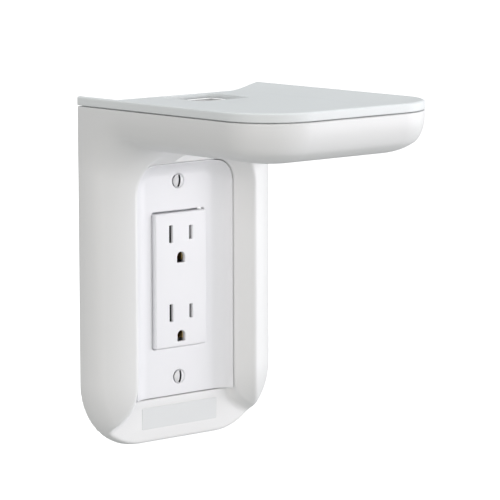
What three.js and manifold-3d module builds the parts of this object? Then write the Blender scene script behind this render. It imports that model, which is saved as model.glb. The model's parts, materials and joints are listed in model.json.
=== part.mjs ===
// Wall outlet shelf: a moulded surround and shelf that fits over a duplex receptacle.
// Millimetres. +X right along the wall, -Y out of the wall, +Z up.
// The origin is the receptacle's centre on the wall plane. "Depth" is the distance out of the wall, -Y.

import * as THREE from 'three';
import { mergeVertices } from 'three/addons/utils/BufferGeometryUtils.js';
import Module from 'manifold-3d';

const wasm = await Module();
wasm.setup();

// ---------------------------------------------------------------- driving dimensions

const GAP = 0.35; // clearance between separate pieces
const WALL = 2.5; // moulded wall thickness

// Housing, wall part
const HALF_WIDTH = 58.25;
const BOTTOM_Z = -79.7;
const PARTING_Z = 88.4;
const BOTTOM_CORNER = 34;
const BAND_DEPTH = 7.4; // flat side band
const CREST_DEPTH = 20.1;
const CREST_INSET = 20.25; // from the outline in to the crest
const CREST_BULGE = 2.2; // how far the sloped face swells past a straight slope

// Housing, shelf part
const SHELF_DEPTH = 134;
const FRONT_CORNER = 28;
const SHELF_BAND_Z = 77.3;
const BELLY_Z = 68.5;
const BELLY_INSET = 17;
const BELLY_BULGE = 1.54;
const SLOPE_SHARE = 0.8; // how far a slope moves along its axis for each mm of wall thickness
const FILLET_SIDE = 18.5; // radius between wall and shelf at the sides
const FILLET_MIDDLE = 12;

// Recess and the cover that sits in it
const COVER_HALF_WIDTH = 30.9;
const COVER_TOP = 57.6;
const COVER_BOTTOM = -57.3;
const COVER_CORNER = 10.7;
const COVER_BACK = 3.3;
const COVER_FLAT = 5.9;
const COVER_RIM = 11.7;
const COVE_INSET = 10.4; // rim to flat field at the sides
const COVE_TOP_INSET = 6.4; // rim to flat field at the top, less to clear the screw
const LEDGE_BACK = 0.5;
const SILL_DEPTH = 6;
const BOX_HALF_WIDTH = 24;
const BOX_HALF_HEIGHT = 54.5;

// Cord pass-through, off centre to the right
const PASS_LEFT = -8;
const PASS_RIGHT = 24;
const PASS_REAR = 3;
const PASS_FRONT = 33;

// Deck. The edge and the tray's wall are [inset from the outline, z] pairs.
const DECK_Z = 89.8;
const DECK_UNDER = 87.2;
const RIM_Z = 93.1;
const DECK_EDGE = [[0, RIM_Z - 1.8], [0.5, RIM_Z - 0.6], [1.4, RIM_Z - 0.1], [2.4, RIM_Z]];
const TRAY_WALL = [[11, DECK_Z], [9, 90.2], [6.5, 91.5], [4.5, 92.7], [3.4, RIM_Z], [3.4, RIM_Z + 3]];

// Badge panel on the sill
const BADGE = { width: 48, height: 10.6, z: -67, back: 5.5, front: 6.15 };

// Receptacle
const FACE_HALF_WIDTH = 16.55;
const FACE_HALF_HEIGHT = 33.25;
const FACE_FRONT = 7.9;
const FACE_BACK = 2.6;
const FACE_SKIN = 1.6;
const OUTLET_Z = 19.45; // each outlet's centre, up and down
const SLOT_X = 6.35;
const SLOT_RAISE = 3.4; // slots above the outlet's centre
const SLOT_WIDTH = 2.1;
const NEUTRAL_SLOT = 8.6;
const LINE_SLOT = 6.8;
const GROUND_DROP = 8.4;
const GROUND_RADIUS = 2.45;
const GROUND_FLAT = 2.65; // from the ground hole's middle down to its square end
const GROUND_RAISE = 0.2;
const GROUND_POCKET = { halfWidth: 4.6, halfHeight: 3.6, skin: 1.9 };
const COVER_SCREW_Z = 48.42;
const WINDOW_SPARE = 0.45; // extra room above the receptacle in the cover's window
const BOX_SCREW_Z = 41.67;

// Behind the face: yoke, body, contacts and fastenings. Depths behind the wall plane are negative.
const STRAP = { halfWidth: 16, halfHeight: 52.6, corner: 2.5, depth: [0.3, 1.6], window: [15, 30] };
const STRAP_HOLE = { coverScrew: 1.95, slotHalf: 3.4, slotRadius: 2.2 };
const GROUND_TAB = { x: [-15.5, -9.5], depth: [-8, 1.4], z: [-34.6, -33.2] };
const GROUND_SCREW = { x: -12.5, depth: -4.6, seat: -34.95, head: 3.1 };
const BASE = { halfWidth: 16.2, halfHeight: 32.6, depth: [-24, -0.1], corner: 2, wall: 1.8, wallEnds: 2.2, floor: 2.2 };
const PLATE_OPENING = { x: 15.5, half: 2, depth: [-11.5, 2], halfHeight: 13.6 };
const RETAINER = { halfWidth: 14.6, depth: [1, 2.25], halfHeight: 29.6, blade: [1.6, 4.8], ground: [3.8, 2.6] };
const RETAINER_WAIST = { x: [12.2, 16], half: 3 };
const STRIP = { x: [9.4, 10.1], depth: [-12, -3], half: 26 }; // a contact's inner strip
const PLATE = { x: [16.7, 17.4], depth: [-11, -2], half: 13 }; // its outer plate, under the terminal screws
const BRIDGE = { depth: [-11, -10.3], z: [4, 13] }; // the two straps that join them
const GRIP = { gap: 1.35, outside: 2, floor: [-12.6, -11.9], arm: { x: [8, 9.6], depth: [-11, -10] }, half: 3 };
const GROUND_STRIP = { half: 3.3, depth: [-14.5, -13.8], z: [-29.7, 13] };
const GROUND_GRIP = { thick: 0.7, depth: [-14.2, 5.2], half: 1.8 };
const TERMINAL = { x: 17.75, depth: -6, z: 8.5, head: 3.4, shank: 1.55, length: 1.2, hole: 1.9 };
const RIVET = { x: 13.4, head: 2.2, pin: 1.2, front: 5, clear: 1.6, faceEnd: 5.4, plateHole: 1.9 };

// Shutters
const SHUTTER_TRAVEL = 3.2;
const SHUTTER = { left: -12, right: 8.8, height: 10.2, back: 3.0, front: 5.9, lowFront: 4.3, step: -2 };
const POCKET = { left: -12.5, right: 14.2, height: 11 };

// ---------------------------------------------------------------- materials

const plastic = (color, roughness) => new THREE.MeshStandardMaterial({ color, roughness, metalness: 0 });
const metal = (color, roughness) => new THREE.MeshStandardMaterial({ color, roughness, metalness: 1 });

const MATERIALS = {
  shell: plastic(0xf0f0f2, 0.38),
  deck: plastic(0xe9edf0, 0.3),
  cover: plastic(0xf2f2f5, 0.35),
  badge: plastic(0xdadfe2, 0.45),
  face: plastic(0xf0f0f3, 0.32),
  base: plastic(0x37383a, 0.5),
  shutter: plastic(0x8f9091, 0.45),
  paint: plastic(0xf4f4f5, 0.3),
  steel: metal(0xb8babc, 0.4),
  brass: metal(0xc8a24a, 0.35),
  spring: metal(0xaeb1b4, 0.3),
  green: metal(0x3f8a55, 0.4),
  fibre: plastic(0x8c6f4d, 0.8),
};

// ---------------------------------------------------------------- geometry helpers

function toSolid(geometry) {
  const bare = geometry.index ? geometry.toNonIndexed() : geometry.clone();
  bare.deleteAttribute('normal');
  bare.deleteAttribute('uv');
  const merged = mergeVertices(bare, 1e-4);
  const vertProperties = new Float32Array(merged.attributes.position.array);
  const triVerts = new Uint32Array(merged.index.array);
  return new wasm.Manifold(new wasm.Mesh({ numProp: 3, vertProperties, triVerts }));
}

function toGeometry(solid) {
  const mesh = solid.getMesh();
  const geometry = new THREE.BufferGeometry();
  geometry.setAttribute('position', new THREE.Float32BufferAttribute(mesh.vertProperties, 3));
  geometry.setIndex(Array.from(mesh.triVerts));
  geometry.computeVertexNormals();
  return geometry;
}

const union = (...solids) => solids.reduce((whole, solid) => whole.add(solid));
const cut = (solid, ...cutters) => cutters.reduce((whole, cutter) => whole.subtract(cutter), solid);

// A box given by its corners in x, depth and z.
function block(x0, x1, depth0, depth1, z0, z1) {
  const geometry = new THREE.BoxGeometry(x1 - x0, depth1 - depth0, z1 - z0);
  geometry.translate((x0 + x1) / 2, -(depth0 + depth1) / 2, (z0 + z1) / 2);
  return toSolid(geometry);
}

const ordered = (a, b) => [Math.min(a, b), Math.max(a, b)];

// A cylinder along the depth axis.
function roundBar(x, z, radius, depth0, depth1, sides = 24) {
  const geometry = new THREE.CylinderGeometry(radius, radius, depth1 - depth0, sides);
  geometry.translate(x, -(depth0 + depth1) / 2, z);
  return toSolid(geometry);
}

// A drill for a screw hole that runs along x or z.
function drill(axis, radius, x, depth, z) {
  const geometry = new THREE.CylinderGeometry(radius, radius, 6, 16);
  if (axis === 'x') geometry.rotateZ(Math.PI / 2);
  else geometry.rotateX(Math.PI / 2);
  geometry.translate(x, -depth, z);
  return toSolid(geometry);
}

// A solid of revolution about an axis along depth, from a profile of [radius, depth] pairs.
function turned(x, z, profile, sides = 24) {
  const points = profile.map(([radius, depth]) => new THREE.Vector2(radius, -depth));
  points.reverse();
  const geometry = new THREE.LatheGeometry(points, sides);
  geometry.translate(x, 0, z);
  return toSolid(geometry);
}

// Joins sections that all have the same number of points into one closed body.
// Each section is { level, points }, with rising levels and the same turning sense throughout.
function stack(drawn) {
  const clockwise = THREE.ShapeUtils.area(drawn[0].points) < 0;
  const sections = drawn.map(({ level, points }) => ({ level, points: clockwise ? [...points].reverse() : points }));
  const count = sections[0].points.length;
  const positions = [];
  for (const { level, points } of sections) {
    for (const point of points) positions.push(point.x, point.y, level);
  }
  const index = [];
  for (let s = 0; s < sections.length - 1; s += 1) {
    for (let i = 0; i < count; i += 1) {
      const a = s * count + i;
      const b = s * count + ((i + 1) % count);
      index.push(a, b, b + count, a, b + count, a + count);
    }
  }
  const last = (sections.length - 1) * count;
  for (const [a, b, c] of THREE.ShapeUtils.triangulateShape(sections[0].points, [])) index.push(c, b, a);
  const top = sections[sections.length - 1].points;
  for (const [a, b, c] of THREE.ShapeUtils.triangulateShape(top, [])) index.push(last + a, last + b, last + c);
  const geometry = new THREE.BufferGeometry();
  geometry.setAttribute('position', new THREE.Float32BufferAttribute(positions, 3));
  geometry.setIndex(index);
  return geometry;
}

// Sections drawn in (x, z) and stacked out of the wall.
function stackOutward(sections) {
  const geometry = stack(sections);
  geometry.rotateX(Math.PI / 2);
  return toSolid(geometry);
}

// Sections drawn in (y, z) and stacked along x.
function stackAlongX(sections) {
  const geometry = stack(sections);
  const basis = new THREE.Matrix4().makeBasis(
    new THREE.Vector3(0, 1, 0),
    new THREE.Vector3(0, 0, 1),
    new THREE.Vector3(1, 0, 0),
  );
  geometry.applyMatrix4(basis);
  return toSolid(geometry);
}

// An arc as points, from one angle to another, in degrees.
function arc(cx, cy, radius, from, to, steps = 8) {
  return Array.from({ length: steps + 1 }, (_, i) => {
    const angle = THREE.MathUtils.degToRad(from + ((to - from) * i) / steps);
    return new THREE.Vector2(cx + radius * Math.cos(angle), cy + radius * Math.sin(angle));
  });
}

// A rectangle with its own radius at each corner: lower right, upper right, upper left, lower left.
// A radius of 0 gives a sharp corner of one point.
function roundedRect(x0, x1, y0, y1, [lowerRight, upperRight, upperLeft, lowerLeft], steps = 8) {
  const corner = (x, y, radius, from) => (radius ? arc(x, y, radius, from, from + 90, steps) : [new THREE.Vector2(x, y)]);
  return [
    ...corner(x1 - lowerRight, y0 + lowerRight, lowerRight, -90),
    ...corner(x1 - upperRight, y1 - upperRight, upperRight, 0),
    ...corner(x0 + upperLeft, y1 - upperLeft, upperLeft, 90),
    ...corner(x0 + lowerLeft, y0 + lowerLeft, lowerLeft, 180),
  ];
}

// A rounded rectangular prism drawn in (x, z), from one depth to another.
function roundedBlock(x0, x1, z0, z1, radius, depth0, depth1, steps = 6) {
  const points = roundedRect(x0, x1, z0, z1, [radius, radius, radius, radius], steps);
  return stackOutward([{ level: depth0, points }, { level: depth1, points }]);
}

// Where the sloped face of the housing runs: share 0 is the side band's edge, share 1 the crest.
// The swell makes the slope a shallow convex arc.
function slopeAt(share, run, rise, bulge) {
  const swell = bulge * Math.sin(Math.PI * share);
  const length = Math.hypot(run, rise);
  return { inset: share * run - (swell * rise) / length, rise: share * rise + (swell * run) / length };
}

const SHARES = [0, 0.2, 0.45, 0.72, 1];

// ---------------------------------------------------------------- housing

function wallOutline(inset) {
  const corner = BOTTOM_CORNER - inset;
  const half = HALF_WIDTH - inset;
  return roundedRect(-half, half, BOTTOM_Z + inset, PARTING_Z, [corner, 0, 0, corner], 10);
}

function wallBody(shrink) {
  const sections = [{ level: shrink ? -1 : 0, points: wallOutline(shrink) }];
  for (const share of SHARES) {
    const { inset, rise } = slopeAt(share, CREST_INSET, CREST_DEPTH - BAND_DEPTH, CREST_BULGE);
    sections.push({ level: BAND_DEPTH + rise - shrink * SLOPE_SHARE, points: wallOutline(Math.max(inset, 0) + shrink) });
  }
  return stackOutward(sections);
}

function shelfOutline(inset) {
  const corner = FRONT_CORNER - inset;
  const half = HALF_WIDTH - inset;
  return roundedRect(-half, half, -SHELF_DEPTH + inset, 0, [corner, 0, 0, corner], 10);
}

function shelfBody(shrink) {
  const sections = [];
  for (const share of [...SHARES].reverse()) {
    const { inset, rise } = slopeAt(share, BELLY_INSET, SHELF_BAND_Z - BELLY_Z, BELLY_BULGE);
    sections.push({ level: SHELF_BAND_Z - rise + shrink * SLOPE_SHARE, points: shelfOutline(Math.max(inset, 0) + shrink) });
  }
  sections.push({ level: PARTING_Z + (shrink ? 5 : 0), points: shelfOutline(shrink) });
  return toSolid(stack(sections));
}

// The concave web between wall and shelf at one distance from the middle.
function webSection(depth, underside, radius) {
  const points = [new THREE.Vector2(0, PARTING_Z), new THREE.Vector2(0, underside - radius - 1)];
  points.push(new THREE.Vector2(-depth, underside - radius - 1));
  points.push(...arc(-depth - radius, underside - radius, radius, 0, 90, 8));
  points.push(new THREE.Vector2(-depth - radius, PARTING_Z));
  return points;
}

function webBody(shrink) {
  const half = SHARES.map((share) => {
    const wall = slopeAt(share, CREST_INSET, CREST_DEPTH - BAND_DEPTH, CREST_BULGE);
    const belly = slopeAt(share, BELLY_INSET, SHELF_BAND_Z - BELLY_Z, BELLY_BULGE);
    const radius = THREE.MathUtils.lerp(FILLET_SIDE, FILLET_MIDDLE, share);
    return {
      level: HALF_WIDTH - Math.max(wall.inset, 0) - shrink,
      points: webSection(BAND_DEPTH + wall.rise - shrink, SHELF_BAND_Z - belly.rise + shrink, radius),
    };
  });
  const left = half.map(({ level, points }) => ({ level: -level, points }));
  return stackAlongX([...left, ...half.reverse()]);
}

const outerBody = (shrink) => union(wallBody(shrink), shelfBody(shrink), webBody(shrink));

// How the recess opens: its slopes past the cover's rim, in mm across for each mm out of the wall, and the
// curve by which its sides flare out to the sill, as [x, z] points at the sill's depth and at the crest's.
const SIDE_OPENING = 0.8;
const TOP_OPENING = 0.53;
const CORNER_OPENING = 0.85;
const FLARE_END = { x: 66, sill: -77, crest: -68 };
const FLARE_KNEE = { x: [38, 46], z: [-71, -64] };
const FLARE_HANDLE = [-66, -58];
const FLARE_START = [-54, -46];
const BELOW_ALL = -95;

// The recess seen from the front, at one depth: a flat-topped arch whose sides flare out at the bottom.
function recessOutline(depth, grow) {
  const open = Math.max(depth - COVER_RIM, 0);
  const share = (depth - SILL_DEPTH) / (CREST_DEPTH - SILL_DEPTH);
  const blend = ([low, high]) => THREE.MathUtils.lerp(low, high, share) + grow;
  const half = COVER_HALF_WIDTH + GAP + open * SIDE_OPENING + grow;
  const top = COVER_TOP + GAP + open * TOP_OPENING + grow;
  const corner = COVER_CORNER + GAP + open * CORNER_OPENING + grow;
  const end = FLARE_END.x + grow;
  const curve = new THREE.CubicBezierCurve(
    new THREE.Vector2(end, blend([FLARE_END.sill, FLARE_END.crest])),
    new THREE.Vector2(blend(FLARE_KNEE.x), blend(FLARE_KNEE.z)),
    new THREE.Vector2(half, blend(FLARE_HANDLE)),
    new THREE.Vector2(half, blend(FLARE_START)),
  );
  const right = [new THREE.Vector2(end, BELOW_ALL), ...curve.getPoints(10)];
  right.push(...arc(half - corner, top - corner, corner, 0, 90, 8));
  const left = right.map((point) => new THREE.Vector2(-point.x, point.y)).reverse();
  return [...right, ...left];
}

function recessBody(depths, grow) {
  return stackOutward(depths.map((depth) => ({ level: depth, points: recessOutline(depth, grow) })));
}

function coverPocket(depth0, depth1, grow) {
  const corner = COVER_CORNER + GAP + grow;
  const half = COVER_HALF_WIDTH + GAP + grow;
  const points = roundedRect(-half, half, COVER_BOTTOM - GAP - grow, COVER_TOP + GAP + grow, [0, corner, corner, 0]);
  return stackOutward([{ level: depth0, points }, { level: depth1, points }]);
}

// The cord's way down: wide at the deck, narrowing back to the top of the recess.
const PASS_TOP = 96;
const PASS_MOUTH = { rear: 11.75, front: 20.5, z: 60, low: [14, 56] };

function passBody(grow) {
  const points = [
    new THREE.Vector2(-PASS_REAR + grow, PASS_TOP),
    new THREE.Vector2(-PASS_REAR + grow, PARTING_Z - 3),
    new THREE.Vector2(-PASS_MOUTH.rear + grow, COVER_TOP + GAP - grow),
    new THREE.Vector2(-PASS_MOUTH.low[0], PASS_MOUTH.low[1] - grow),
    new THREE.Vector2(-PASS_MOUTH.front - grow, PASS_MOUTH.z - grow),
    new THREE.Vector2(-PASS_FRONT - grow, PARTING_Z - 4),
    new THREE.Vector2(-PASS_FRONT - grow, PASS_TOP),
  ];
  const sections = [PASS_LEFT - grow, PASS_RIGHT + grow].map((level) => ({ level, points }));
  return stackAlongX(sections);
}

// Stiffening ribs inside the shell: one across each cheek, one along each side of the shelf, one across it.
const RIB = { half: 0.9, cheekX: [30, 57], cheekDepth: [1.5, 18], runX: 36, runDepth: [12, 131], z: [66, 82] };
const CROSS_RIB = { half: 55, depth: 85 };

function housingRibs() {
  const [low, high] = RIB.z;
  const { half, depth } = CROSS_RIB;
  const ribs = [block(-half, half, depth - RIB.half, depth + RIB.half, low, high)];
  for (const side of [-1, 1]) {
    const [x0, x1] = ordered(side * RIB.cheekX[0], side * RIB.cheekX[1]);
    ribs.push(block(x0, x1, ...RIB.cheekDepth, -RIB.half, RIB.half));
    const run = side * RIB.runX;
    ribs.push(block(run - RIB.half, run + RIB.half, ...RIB.runDepth, low, high));
  }
  return union(...ribs);
}

// The deck's snap hooks, and the catches under which they click inside the shell.
const HOOK = { depths: [28, 66, 104], half: 3.5, thick: 1.8, reach: 0.9, low: 80, barb: [80.4, 82.6] };
const CATCH_Z = [83, 84.4];
const INNER_FACE = HALF_WIDTH - WALL;

function deckCatches() {
  const catches = [];
  for (const depth of HOOK.depths) {
    for (const side of [-1, 1]) {
      const [x0, x1] = ordered(side * (INNER_FACE - HOOK.reach), side * (INNER_FACE + 1));
      catches.push(block(x0, x1, depth - HOOK.half - 0.5, depth + HOOK.half + 0.5, ...CATCH_Z));
    }
  }
  return union(...catches);
}

function makeHousing() {
  const kept = union(
    recessBody([SILL_DEPTH - WALL, COVER_RIM, CREST_DEPTH + 10], WALL),
    coverPocket(LEDGE_BACK, COVER_RIM, WALL),
    passBody(2),
    housingRibs(),
    deckCatches(),
  );
  const deckSeat = block(-100, 100, -5, SHELF_DEPTH, DECK_UNDER - GAP, PARTING_Z + 10);
  const hollow = outerBody(WALL).subtract(kept.subtract(deckSeat));
  const badgePocket = block(
    -BADGE.width / 2 - GAP,
    BADGE.width / 2 + GAP,
    BADGE.back - GAP,
    BADGE.front + 4,
    BADGE.z - BADGE.height / 2 - GAP,
    BADGE.z + BADGE.height / 2 + GAP,
  );
  return cut(
    outerBody(0),
    hollow,
    recessBody([SILL_DEPTH, COVER_RIM, CREST_DEPTH + 10], 0),
    coverPocket(COVER_BACK - GAP, COVER_RIM + 1, 0),
    roundedBlock(-BOX_HALF_WIDTH, BOX_HALF_WIDTH, -BOX_HALF_HEIGHT, BOX_HALF_HEIGHT, 3, -1, COVER_BACK + 1),
    passBody(0),
    badgePocket,
  );
}

// ---------------------------------------------------------------- deck

function deckHook(side, depth) {
  const outer = INNER_FACE - HOOK.reach - GAP;
  const near = depth - HOOK.half;
  const far = depth + HOOK.half;
  const stemX = ordered(side * outer, side * (outer - HOOK.thick));
  const barbX = ordered(side * (outer - 1), side * (INNER_FACE - GAP));
  const stem = block(...stemX, near, far, HOOK.low, DECK_UNDER + 0.5);
  return stem.add(block(...barbX, near, far, ...HOOK.barb));
}

// The outline of the tray's hollow. It runs out past the wall plane, so the tray is open at the rear.
function trayOutline(inset) {
  const corner = FRONT_CORNER - inset;
  const half = HALF_WIDTH - inset;
  return roundedRect(-half, half, -SHELF_DEPTH + inset, 10, [corner, 0, 0, corner], 10);
}

function makeDeck() {
  const seat = PARTING_Z + GAP;
  const plugOutline = shelfOutline(WALL + GAP + 0.1);
  const plug = toSolid(stack([{ level: DECK_UNDER, points: plugOutline }, { level: seat + 1, points: plugOutline }]));
  const edge = [[0, seat], ...DECK_EDGE].map(([inset, level]) => ({ level, points: shelfOutline(inset) }));
  const tray = TRAY_WALL.map(([inset, level]) => ({ level, points: trayOutline(inset) }));
  const hooks = HOOK.depths.flatMap((depth) => [deckHook(1, depth), deckHook(-1, depth)]);
  const hole = roundedRect(PASS_LEFT, PASS_RIGHT, -PASS_FRONT, -PASS_REAR, [3, 1, 1, 3], 5);
  const holeBody = toSolid(stack([{ level: BELLY_Z, points: hole }, { level: RIM_Z + 3, points: hole }]));
  return cut(union(toSolid(stack(edge)), plug, ...hooks), toSolid(stack(tray)), holeBody);
}

// ---------------------------------------------------------------- cover, badge and its screws

function coverOutline(inset, topInset, bottom) {
  const half = COVER_HALF_WIDTH - inset;
  const corner = COVER_CORNER - topInset;
  return roundedRect(-half, half, bottom, COVER_TOP - topInset, [0, corner, corner, 0]);
}

// The hollow curve that lifts the cover's flat field up to its rim.
function coveCutter() {
  const rise = COVER_RIM - COVER_FLAT;
  const radius = (COVE_INSET ** 2 + rise ** 2) / (2 * rise);
  const sweep = Math.asin(COVE_INSET / radius);
  const sections = [];
  for (let i = 0; i <= 7; i += 1) {
    const angle = (sweep * i) / 7;
    const left = 1 - Math.sin(angle) / Math.sin(sweep);
    const points = coverOutline(COVE_INSET * left + 0.6, COVE_TOP_INSET * left + 0.6, -70);
    sections.push({ level: COVER_FLAT + radius * (1 - Math.cos(angle)), points });
  }
  const last = sections[sections.length - 1];
  sections.push({ level: COVER_RIM + 3, points: last.points });
  return stackOutward(sections);
}

function makeCover() {
  const outline = coverOutline(0, 0, COVER_BOTTOM);
  const slab = stackOutward([{ level: COVER_BACK, points: outline }, { level: COVER_RIM, points: outline }]);
  const halfWidth = FACE_HALF_WIDTH + GAP;
  const halfHeight = FACE_HALF_HEIGHT + GAP;
  const window = roundedBlock(-halfWidth, halfWidth, -halfHeight, halfHeight + WINDOW_SPARE, 1.2, 0, 12);
  const sink = [[0, 0], [2.4, 0], [2.4, 4.4], [3.75, 6], [3.75, 8], [0, 8]];
  const holes = [-1, 1].map((side) => turned(0, side * COVER_SCREW_Z, sink));
  return cut(slab, coveCutter(), window, ...holes);
}

function makeBadge() {
  const half = BADGE.width / 2;
  const low = BADGE.z - BADGE.height / 2;
  return roundedBlock(-half, half, low, low + BADGE.height, 0.5, BADGE.back, BADGE.front, 3);
}

// An oval-head screw with one slot, standing upright.
function makeCoverScrew(side) {
  const z = side * COVER_SCREW_Z;
  const head = [[0, -9], [1.6, -9], [1.6, 4.3], [3.25, 5.95], [3.0, 6.45], [2.1, 6.85], [1.1, 7.05], [0, 7.1]];
  const slot = block(-0.42, 0.42, 6.2, 8, z - 4, z + 4);
  return turned(0, z, head).subtract(slot);
}

// ---------------------------------------------------------------- receptacle

const OUTLETS = [1, -1];

// Round at the top and square at the bottom, as a grounding pin's hole is.
function groundOutline(outlet) {
  const z = outlet * OUTLET_Z - GROUND_DROP;
  return [
    new THREE.Vector2(-GROUND_RADIUS, z - GROUND_FLAT),
    new THREE.Vector2(GROUND_RADIUS, z - GROUND_FLAT),
    ...arc(0, z + GROUND_RAISE, GROUND_RADIUS, 0, 180, 10),
  ];
}

// The openings of one outlet: two slots, the ground hole, and the pockets behind them.
function outletCutters(outlet) {
  const z = outlet * OUTLET_Z;
  const slots = z + SLOT_RAISE;
  const low = z - GROUND_DROP;
  const past = FACE_FRONT + 4;
  const tall = POCKET.height / 2;
  const cutters = [block(POCKET.left, POCKET.right, 0, FACE_FRONT - FACE_SKIN, slots - tall, slots + tall)];
  for (const [x, height] of [[-SLOT_X, NEUTRAL_SLOT], [SLOT_X, LINE_SLOT]]) {
    cutters.push(block(x - SLOT_WIDTH / 2, x + SLOT_WIDTH / 2, 0, past, slots - height / 2, slots + height / 2));
  }
  const { halfWidth, halfHeight, skin } = GROUND_POCKET;
  cutters.push(block(-halfWidth, halfWidth, 0, FACE_FRONT - skin, low - halfHeight, low + halfHeight));
  const ground = groundOutline(outlet);
  return [...cutters, stackOutward([{ level: 0, points: ground }, { level: past, points: ground }])];
}

function makeFace() {
  const steps = [[0, FACE_BACK], [0, 6.9], [0.45, 7.55], [1.1, FACE_FRONT]];
  const sections = steps.map(([inset, level]) => {
    const radius = 1.4 - inset * 0.6;
    const half = FACE_HALF_WIDTH - inset;
    const height = FACE_HALF_HEIGHT - inset;
    return { level, points: roundedRect(-half, half, -height, height, [radius, radius, radius, radius], 4) };
  });
  const rivetHoles = OUTLETS.map((side) => roundBar(side * RIVET.x, 0, RIVET.clear, 0, RIVET.faceEnd, 16));
  return cut(stackOutward(sections), ...OUTLETS.flatMap(outletCutters), ...rivetHoles);
}

// Tilted windows: a blade's tip presses on the tilted side and drives the shutter sideways.
function shutterWindow(x, z) {
  const lean = 0.7;
  const halfWidth = 1.2;
  const points = [
    new THREE.Vector2(x - halfWidth - lean, -SHUTTER.front - 0.5),
    new THREE.Vector2(x + halfWidth, -SHUTTER.front - 0.5),
    new THREE.Vector2(x + halfWidth, -SHUTTER.back + 0.5),
    new THREE.Vector2(x - halfWidth, -SHUTTER.back + 0.5),
  ];
  const height = NEUTRAL_SLOT / 2 + 0.1;
  return toSolid(stack([{ level: z - height, points }, { level: z + height, points }]));
}

function makeShutter(outlet) {
  const z = outlet * OUTLET_Z + SLOT_RAISE;
  const half = SHUTTER.height / 2;
  const low = block(SHUTTER.left, SHUTTER.right, SHUTTER.back, SHUTTER.lowFront, z - half, z + half);
  const plate = low.add(block(SHUTTER.step, SHUTTER.right, SHUTTER.back, SHUTTER.front, z - half, z + half));
  const windows = [-SLOT_X, SLOT_X].map((x) => shutterWindow(x - SHUTTER_TRAVEL, z));
  return cut(plate, ...windows);
}

const SPRING = { radius: 0.8, wire: 0.14, turns: 4, start: SHUTTER.right + 0.5, end: POCKET.right - 0.5 };

// A compression spring between the shutter's right end and the pocket's wall.
function makeSpring(outlet) {
  const z = outlet * OUTLET_Z + SLOT_RAISE;
  const depth = (SHUTTER.back + SHUTTER.front) / 2;
  class Helix extends THREE.Curve {
    getPoint(share, target = new THREE.Vector3()) {
      const angle = share * SPRING.turns * Math.PI * 2;
      const x = THREE.MathUtils.lerp(SPRING.start, SPRING.end, share);
      return target.set(x, -depth + SPRING.radius * Math.cos(angle), z + SPRING.radius * Math.sin(angle));
    }
  }
  const section = new THREE.Shape(arc(0, 0, SPRING.wire, 0, 300, 5));
  return toSolid(new THREE.ExtrudeGeometry(section, { steps: 50, extrudePath: new Helix() }));
}

// The plate behind the shutters: it keeps them in the face and lets the blades through.
function makeShutterRetainer() {
  const { halfWidth, halfHeight, blade, ground } = RETAINER;
  const plate = block(-halfWidth, halfWidth, ...RETAINER.depth, -halfHeight, halfHeight);
  const hole = (x, z, [across, up]) => block(x - across, x + across, 0, 4, z - up, z + up);
  const cutters = [];
  for (const outlet of OUTLETS) {
    const slots = outlet * OUTLET_Z + SLOT_RAISE;
    cutters.push(hole(-SLOT_X, slots, blade), hole(SLOT_X, slots, blade));
    cutters.push(hole(0, outlet * OUTLET_Z - GROUND_DROP, ground));
  }
  for (const side of [-1, 1]) {
    const waist = ordered(side * RETAINER_WAIST.x[0], side * RETAINER_WAIST.x[1]);
    cutters.push(roundBar(side * RIVET.x, 0, RIVET.plateHole, 0, 4, 16));
    cutters.push(block(...waist, 0, 4, -RETAINER_WAIST.half, RETAINER_WAIST.half));
  }
  return cut(plate, ...cutters);
}

// A steel yoke: ears on the wall at both ends and a window for the receptacle's insides.
function makeStrap() {
  const { halfWidth, halfHeight, corner, depth } = STRAP;
  const plate = roundedBlock(-halfWidth, halfWidth, -halfHeight, halfHeight, corner, ...depth);
  const [windowX, windowZ] = STRAP.window;
  const window = block(-windowX, windowX, 0, 3, -windowZ, windowZ);
  const { coverScrew, slotHalf, slotRadius } = STRAP_HOLE;
  const holes = OUTLETS.flatMap((end) => {
    const z = end * BOX_SCREW_Z;
    return [
      roundBar(0, end * COVER_SCREW_Z, coverScrew, 0, 3, 16),
      roundedBlock(-slotHalf, slotHalf, z - slotRadius, z + slotRadius, slotRadius - 0.1, 0, 3, 5),
    ];
  });
  const groundTab = block(...GROUND_TAB.x, ...GROUND_TAB.depth, ...GROUND_TAB.z);
  const tabHole = drill('z', TERMINAL.hole, GROUND_SCREW.x, GROUND_SCREW.depth, -34);
  return cut(union(plate, groundTab), window, ...holes, tabHole);
}

function makeBase() {
  const { halfWidth, halfHeight, depth, corner, wall, wallEnds, floor } = BASE;
  const outer = roundedBlock(-halfWidth, halfWidth, -halfHeight, halfHeight, corner, ...depth, 4);
  const insideX = halfWidth - wall;
  const insideZ = halfHeight - wallEnds;
  const hollow = roundedBlock(-insideX, insideX, -insideZ, insideZ, 1.2, depth[0] + floor, 2, 4);
  const openings = [-1, 1].map((side) => {
    const x = side * PLATE_OPENING.x;
    const { half, halfHeight: high } = PLATE_OPENING;
    return block(x - half, x + half, ...PLATE_OPENING.depth, -high, high);
  });
  const rivetClearance = [-1, 1].map((side) => roundBar(side * RIVET.x, 0, RIVET.clear, depth[0] - 6, 2, 16));
  return cut(outer, hollow, ...openings, ...rivetClearance);
}

// One outlet's share of a contact strip: two spring grips, the floor between them and the arm to the strip.
function contactGrip(side, outlet) {
  const x = side * SLOT_X;
  const z = outlet * OUTLET_Z + SLOT_RAISE;
  const { gap, outside, floor, arm, half } = GRIP;
  const armX = ordered(side * arm.x[0], side * arm.x[1]);
  return union(
    block(x - outside, x - gap, ...STRIP.depth, z - half, z + half),
    block(x + gap, x + outside, ...STRIP.depth, z - half, z + half),
    block(x - outside, x + outside, ...floor, z - half, z + half),
    block(...armX, ...arm.depth, z - half, z + half),
  );
}

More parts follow.
